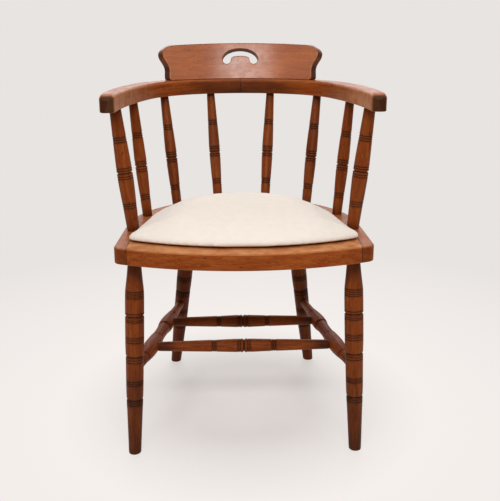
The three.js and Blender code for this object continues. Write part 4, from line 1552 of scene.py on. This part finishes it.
def make_camera():
    """The photo's camera, turned by yaw, then pitch, then roll."""
    stage = bpy.context.scene.chair_stage
    camera = bpy.data.cameras.new("Camera")
    obj = staged("Camera", camera)
    bpy.context.scene.camera = obj
    yaw, pitch, roll = stage.camera_yaw, stage.camera_pitch, stage.camera_roll
    ahead = Vector((math.sin(yaw) * math.cos(pitch), math.cos(yaw) * math.cos(pitch), -math.sin(pitch)))
    right = Vector((math.cos(yaw), -math.sin(yaw), 0))
    up = right.cross(ahead)
    level_right = right * math.cos(roll) + up * math.sin(roll)
    level_up = up * math.cos(roll) - right * math.sin(roll)
    turn = Matrix((level_right, level_up, -ahead)).transposed().to_4x4()
    obj.matrix_world = Matrix.Translation(Vector(stage.camera_place)) @ turn
    camera.sensor_width = SENSOR_WIDTH
    camera.lens = stage.camera_lens
    camera.shift_y = stage.camera_shift


# Sizes and colours that a user may change


def millimetres(value, name, description):
    return FloatProperty(name=name, description=description, default=value * MM, unit="LENGTH")


def degrees(value, name, description):
    return FloatProperty(name=name, description=description, default=math.radians(value), subtype="ANGLE")


def plain_number(value, name, description, **limits):
    return FloatProperty(name=name, description=description, default=value, **limits)


def fraction(value, name, description):
    return plain_number(value, name, description, min=0, max=1)


def whole_number(value, name, description):
    return IntProperty(name=name, description=description, default=value)


def tint(colour, name, description):
    return FloatVectorProperty(name=name, description=description, default=colour, subtype="COLOR")


class ChairTurning(bpy.types.PropertyGroup):
    """Turned legs, stretchers and spindles"""

    leg_radius: millimetres(18.6, "Leg radius", "At its thickest")
    leg_tenon: millimetres(18, "Leg tenon", "How far a leg goes into the seat frame")
    leg_tenon_radius: millimetres(9.5, "Leg tenon radius", "At the tenon's end")
    post_radius: millimetres(15.6, "Arm post radius", "At its thickest")
    spindle_radius: millimetres(13, "Spindle radius", "At its thickest")
    spindle_tenon: millimetres(20, "Spindle tenon", "Length in the frame and in the bow")
    spindle_tenon_radius: millimetres(7, "Spindle tenon radius", "At the tenon's end")
    side_stretcher_radius: millimetres(16.8, "Side stretcher radius", "At its front bulb")
    cross_stretcher_radius: millimetres(14.5, "Cross stretcher radius", "At its middle")
    v_depth: millimetres(3.3, "V cut", "Depth of the deep V cuts")
    ring_depth: millimetres(1.25, "Ring cut", "Depth of the fine rings")
    step: millimetres(3, "Step", "Between points of a profile")
    leg_sides: whole_number(48, "Leg facets", "Round a leg")
    spindle_sides: whole_number(40, "Spindle facets", "Round a spindle")


class ChairBow(bpy.types.PropertyGroup):
    """The arm bow in two halves"""

    arc_y: millimetres(252, "Arc centre", "Of the back arc, behind the front feet")
    back_radius: millimetres(224, "Back radius", "Of the bow's line")
    back_sweep: degrees(76, "Back sweep", "Of half the back arc")
    side_radius: millimetres(1040, "Side radius", "Of the flat arc along each arm")
    side_sweep: degrees(17.25, "Side sweep", "Of each arm's arc")
    back_width: millimetres(50, "Back width", "At the back joint")
    tip_width: millimetres(27.5, "Tip width", "At the hand end")
    tip_length: millimetres(18, "Tip length", "Of the rounding")
    slope_length: millimetres(26, "Slope length", "Over which the hand end slopes down")
    slope_drop: millimetres(6, "Slope drop", "At the hand end")
    edge_round: millimetres(8, "Edge round", "Above")
    under_round: millimetres(2.4, "Lower edge round", "Below")
    dark_length: millimetres(190, "Dark length", "How far the darker inner back reaches")
    socket_flare: millimetres(3.4, "Socket flare", "How much wider a socket is at its mouth")
    steps: whole_number(56, "Steps", "Along each half")


class ChairCrest(bpy.types.PropertyGroup):
    """The crest rail and its hand hole"""

    front_radius: millimetres(240, "Front radius", "Of the curved front face")
    front_y: millimetres(457, "Front", "Middle of the foot, behind the front feet")
    thickness: millimetres(23, "Thickness", "Measured level")
    lean: degrees(18, "Lean", "Backwards")
    height: millimetres(84, "Height", "At the middle")
    foot_half: millimetres(182, "Foot", "Half its length")
    tip_half: millimetres(204.5, "Tip", "Half the length at the tips")
    tip_turn: plain_number(0.3, "Tip turn", "How far the tips lean in behind")
    tip_fall: plain_number(0.25, "Tip fall", "How far the tips slope down behind")
    end_drop: millimetres(6, "End drop", "Of the top edge")
    edge_round: millimetres(2.2, "Edge round", "All round")
    hole_height: millimetres(46, "Hole height", "Of its lobes")
    hole_half_width: millimetres(43, "Hole width", "Half of it")
    hole_rise: millimetres(25, "Hole rise", "Over its lobes")
    tongue_half_width: millimetres(22.4, "Tongue width", "Half of it")
    tongue_rise: millimetres(8.5, "Tongue rise", "Over the lobes")
    steps: whole_number(72, "Steps", "Along the rail")


class ChairSeat(bpy.types.PropertyGroup):
    """The seat frame"""

    arc_y: millimetres(150, "Arc centre", "Of the round back, behind the front feet")
    back_radius: millimetres(243, "Back radius", "Outside")
    half_width: millimetres(246, "Half width", "At the front corners")
    front_y: millimetres(-71, "Front", "Foremost point, from the front feet")
    front_radius: millimetres(612, "Front radius", "Of the bow")
    corner: millimetres(13, "Corner", "Radius of the corners")
    edge_round: millimetres(3.5, "Edge round", "Above")
    under_round: millimetres(2, "Lower edge round", "Below")
    side_rail_end: millimetres(25.5, "Side rail end", "Its width at the front")
    joint_y: millimetres(40, "Front joint", "Back of the front rail's ends")
    joint_angle: degrees(56, "Back joint", "From straight back")
    pad_shift: millimetres(8, "Pad shift", "Of its round back, behind the frame's")
    back_margin: millimetres(47, "Back margin", "Wood behind the pad")
    side_margin: millimetres(26, "Side margin", "Wood beside the pad")
    front_margin: millimetres(48, "Front margin", "Wood before the pad")
    pad_front_radius: millimetres(500, "Pad front radius", "Of the pad's bowed front")
    pad_gap: millimetres(1.2, "Pad gap", "Round the pad")
    rebate_depth: millimetres(10, "Rebate", "Its depth")
    ledge: millimetres(14, "Ledge", "Its width")
    screw_head: millimetres(3.5, "Screw head", "Its height")
    # How pale the front rail's top is, partly worn and partly painted sheen
    front_wear: plain_number(1.4, "Front wear", "Of the front rail's top", min=0, max=2)


class ChairPad(bpy.types.PropertyGroup):
    """The padded seat"""

    middle_y: millimetres(165, "Crown", "Its place, behind the front feet")
    start_crown: millimetres(35, "Crown height", "Before the filling swells it")
    lip: millimetres(15.5, "Lip", "How far it hangs over the front rail")
    start_inset: millimetres(0.6, "Inset", "Of its outline before it swells")
    held_above: millimetres(3, "Held", "Cloth up to here above the frame is held")
    tied_height: millimetres(22, "Tied height", "Above it the cloth moves freely")
    voxel: millimetres(4, "Voxel", "Of the remeshed pad")
    pressure: plain_number(4.0, "Pressure", "Of the filling")
    cap: millimetres(5, "Cap", "How far the cloth may move")
    frames: whole_number(20, "Frames", "Of the simulation")
    thread: millimetres(0.9, "Thread", "Spacing of the weave")
    colour: tint((0.9, 0.81, 0.72), "Cloth", "Cream cloth")


class ChairWood(bpy.types.PropertyGroup):
    """The stained hardwood"""

    dark: tint((0.15, 0.026, 0.004), "Dark", "Dark grain")
    middle: tint((0.28, 0.058, 0.008), "Middle", "Plain wood")
    light: tint((0.4, 0.11, 0.02), "Light", "Light grain")
    stain: tint((0.022, 0.007, 0.003), "Stain", "Pooled in cuts and end grain")
    # Painted shade on the turned pieces, and the dark layer of hands and polish elsewhere
    painted_shade_and_film: tint((0.03, 0.009, 0.004), "Film", "Dark film of hands and polish")
    # Pale colour and amount of the edges: partly worn, partly painted highlight and sheen
    rubbed: tint((0.68, 0.315, 0.125), "Rubbed", "Wood rubbed pale")
    wear: fraction(0.5, "Wear", "How pale the edges are")
    joint_line: millimetres(1, "Joint line", "Half the width of the dark line at a joint")
    roughness: fraction(0.42, "Roughness", "Of the polish")
    specular: fraction(0.085, "Specular", "Of the polish")
    polish: fraction(0.72, "Crest polish", "Specular of the crest rail")
    polish_roughness: fraction(0.31, "Crest roughness", "Of the crest rail's polish")
    # The crest rail's paler colours: partly its own, partly painted sheen of its polished face
    crest_dark: tint((0.26, 0.064, 0.016), "Crest dark", "Its dark grain")
    crest_middle: tint((0.37, 0.096, 0.021), "Crest middle", "Its plain wood")
    crest_light: tint((0.47, 0.142, 0.035), "Crest light", "Its light grain")


class ChairStage(bpy.types.PropertyGroup):
    """Floor, backdrop and camera"""

    floor: tint((0.82, 0.785, 0.76), "Floor", "Pale floor")
    backdrop: tint((0.807, 0.776, 0.753), "Backdrop", "Behind the chair")
    room: tint((1.0, 0.98, 0.96), "Room", "Light from all sides")
    room_strength: plain_number(0.26, "Room strength", "Of that light")
    fade_start: millimetres(170, "Fade start", "Where the floor starts to fade")
    fade_end: millimetres(420, "Fade end", "Where it is all backdrop")
    fade_least: plain_number(0.38, "Least fade", "Under the chair")
    near_floor: tint((0.915, 0.868, 0.838), "Near floor", "Round the chair")
    camera_place: FloatVectorProperty(
        name="Camera place",
        description="In the frame",
        default=(-0.0226, -1.4946, 0.8221),
        subtype="TRANSLATION",
    )
    camera_yaw: FloatProperty(name="Yaw", description="To the right", default=0.0261, subtype="ANGLE")
    camera_pitch: FloatProperty(name="Pitch", description="Downwards", default=0.2487, subtype="ANGLE")
    camera_roll: FloatProperty(name="Roll", description="Of the camera", default=-0.0027, subtype="ANGLE")
    camera_lens: plain_number(50.275, "Lens", "Focal length in millimetres")
    camera_shift: plain_number(-0.0709, "Shift", "Of the picture, upwards")


# The last number handed on below stands for the board that a piece is cut from, which decides the
# stretch of grain that it shows.


class CHAIR_OT_legs(bpy.types.Operator):
    """Turn the four legs"""

    bl_idname = "chair.legs"
    bl_label = "Legs"

    def execute(self, context):
        for i, end in enumerate(("front", "rear")):
            for k, side in enumerate(SIDES):
                make_leg(end, side, 2 * i + k)
        return {"FINISHED"}


class CHAIR_OT_stretchers(bpy.types.Operator):
    """Turn the two side stretchers and the two cross stretchers"""

    bl_idname = "chair.stretchers"
    bl_label = "Stretchers"

    def execute(self, context):
        for i, side in enumerate(SIDES):
            make_side_stretcher(side, 10 + i)
        for i, end in enumerate(("front", "rear")):
            make_cross_stretcher(end, 12 + i)
        return {"FINISHED"}


class CHAIR_OT_spindles(bpy.types.Operator):
    """Turn the arm posts and the spindles"""

    bl_idname = "chair.spindles"
    bl_label = "Spindles"

    def execute(self, context):
        for i, kind in enumerate(SPINDLE_KINDS):
            for k, side in enumerate(SIDES):
                make_spindle(kind, side, 20 + 2 * i + k)
        return {"FINISHED"}


class CHAIR_OT_bow(bpy.types.Operator):
    """Shape the two halves of the arm bow"""

    bl_idname = "chair.bow"
    bl_label = "Arm bow"

    def execute(self, context):
        for i, side in enumerate(SIDES):
            make_arm(side, 30 + i)
        return {"FINISHED"}


class CHAIR_OT_crest(bpy.types.Operator):
    """Bend the crest rail and cut its hand hole"""

    bl_idname = "chair.crest"
    bl_label = "Crest rail"

    def execute(self, context):
        make_crest()
        return {"FINISHED"}


class CHAIR_OT_seat_frame(bpy.types.Operator):
    """Cut the four rails of the seat frame"""

    bl_idname = "chair.seat_frame"
    bl_label = "Seat frame"

    def execute(self, context):
        make_seat_frame()
        return {"FINISHED"}


class CHAIR_OT_pad(bpy.types.Operator):
    """Upholster the seat pad"""

    bl_idname = "chair.pad"
    bl_label = "Seat pad"

    def execute(self, context):
        make_pad()
        return {"FINISHED"}


class CHAIR_OT_fittings(bpy.types.Operator):
    """Finish the seat board, the dowels and the screws"""

    bl_idname = "chair.fittings"
    bl_label = "Board, dowels and screws"

    def execute(self, context):
        finishes = {"seat_board": plywood(), "dowel": beech(), "screw": steel()}
        for name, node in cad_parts.items():
            for word, material in finishes.items():
                if word in name:
                    node.data.materials.clear()
                    node.data.materials.append(material)
        return {"FINISHED"}


class CHAIR_OT_stage(bpy.types.Operator):
    """Set the floor, the lamps and the camera"""

    bl_idname = "chair.stage"
    bl_label = "Stage"

    def execute(self, context):
        make_stage()
        return {"FINISHED"}


OPERATORS = (
    CHAIR_OT_stage,
    CHAIR_OT_legs,
    CHAIR_OT_stretchers,
    CHAIR_OT_spindles,
    CHAIR_OT_seat_frame,
    CHAIR_OT_bow,
    CHAIR_OT_crest,
    CHAIR_OT_pad,
    CHAIR_OT_fittings,
)


class CHAIR_PT_sidebar(bpy.types.Panel):
    """Lists the pieces of the chair"""

    bl_idname = "CHAIR_PT_sidebar"
    bl_label = "Captains chair"
    bl_space_type = "VIEW_3D"
    bl_region_type = "UI"
    bl_category = "Chair"

    def draw(self, context):
        for operator in OPERATORS:
            self.layout.operator(operator.bl_idname)


GROUPS = {
    "chair_turning": ChairTurning,
    "chair_bow": ChairBow,
    "chair_crest": ChairCrest,
    "chair_seat": ChairSeat,
    "chair_pad": ChairPad,
    "chair_wood": ChairWood,
    "chair_stage": ChairStage,
}


def register():
    for made in (*GROUPS.values(), *OPERATORS, CHAIR_PT_sidebar):
        bpy.utils.register_class(made)
    for name, group in GROUPS.items():
        setattr(bpy.types.Scene, name, PointerProperty(type=group))


def unregister():
    for name in GROUPS:
        delattr(bpy.types.Scene, name)
    for made in (CHAIR_PT_sidebar, *OPERATORS[::-1], *GROUPS.values()):
        bpy.utils.unregister_class(made)


def main():
    register()
    for operator in OPERATORS:
        getattr(bpy.ops.chair, operator.bl_idname.split(".")[1])()


if __name__ == "__main__":
    main()
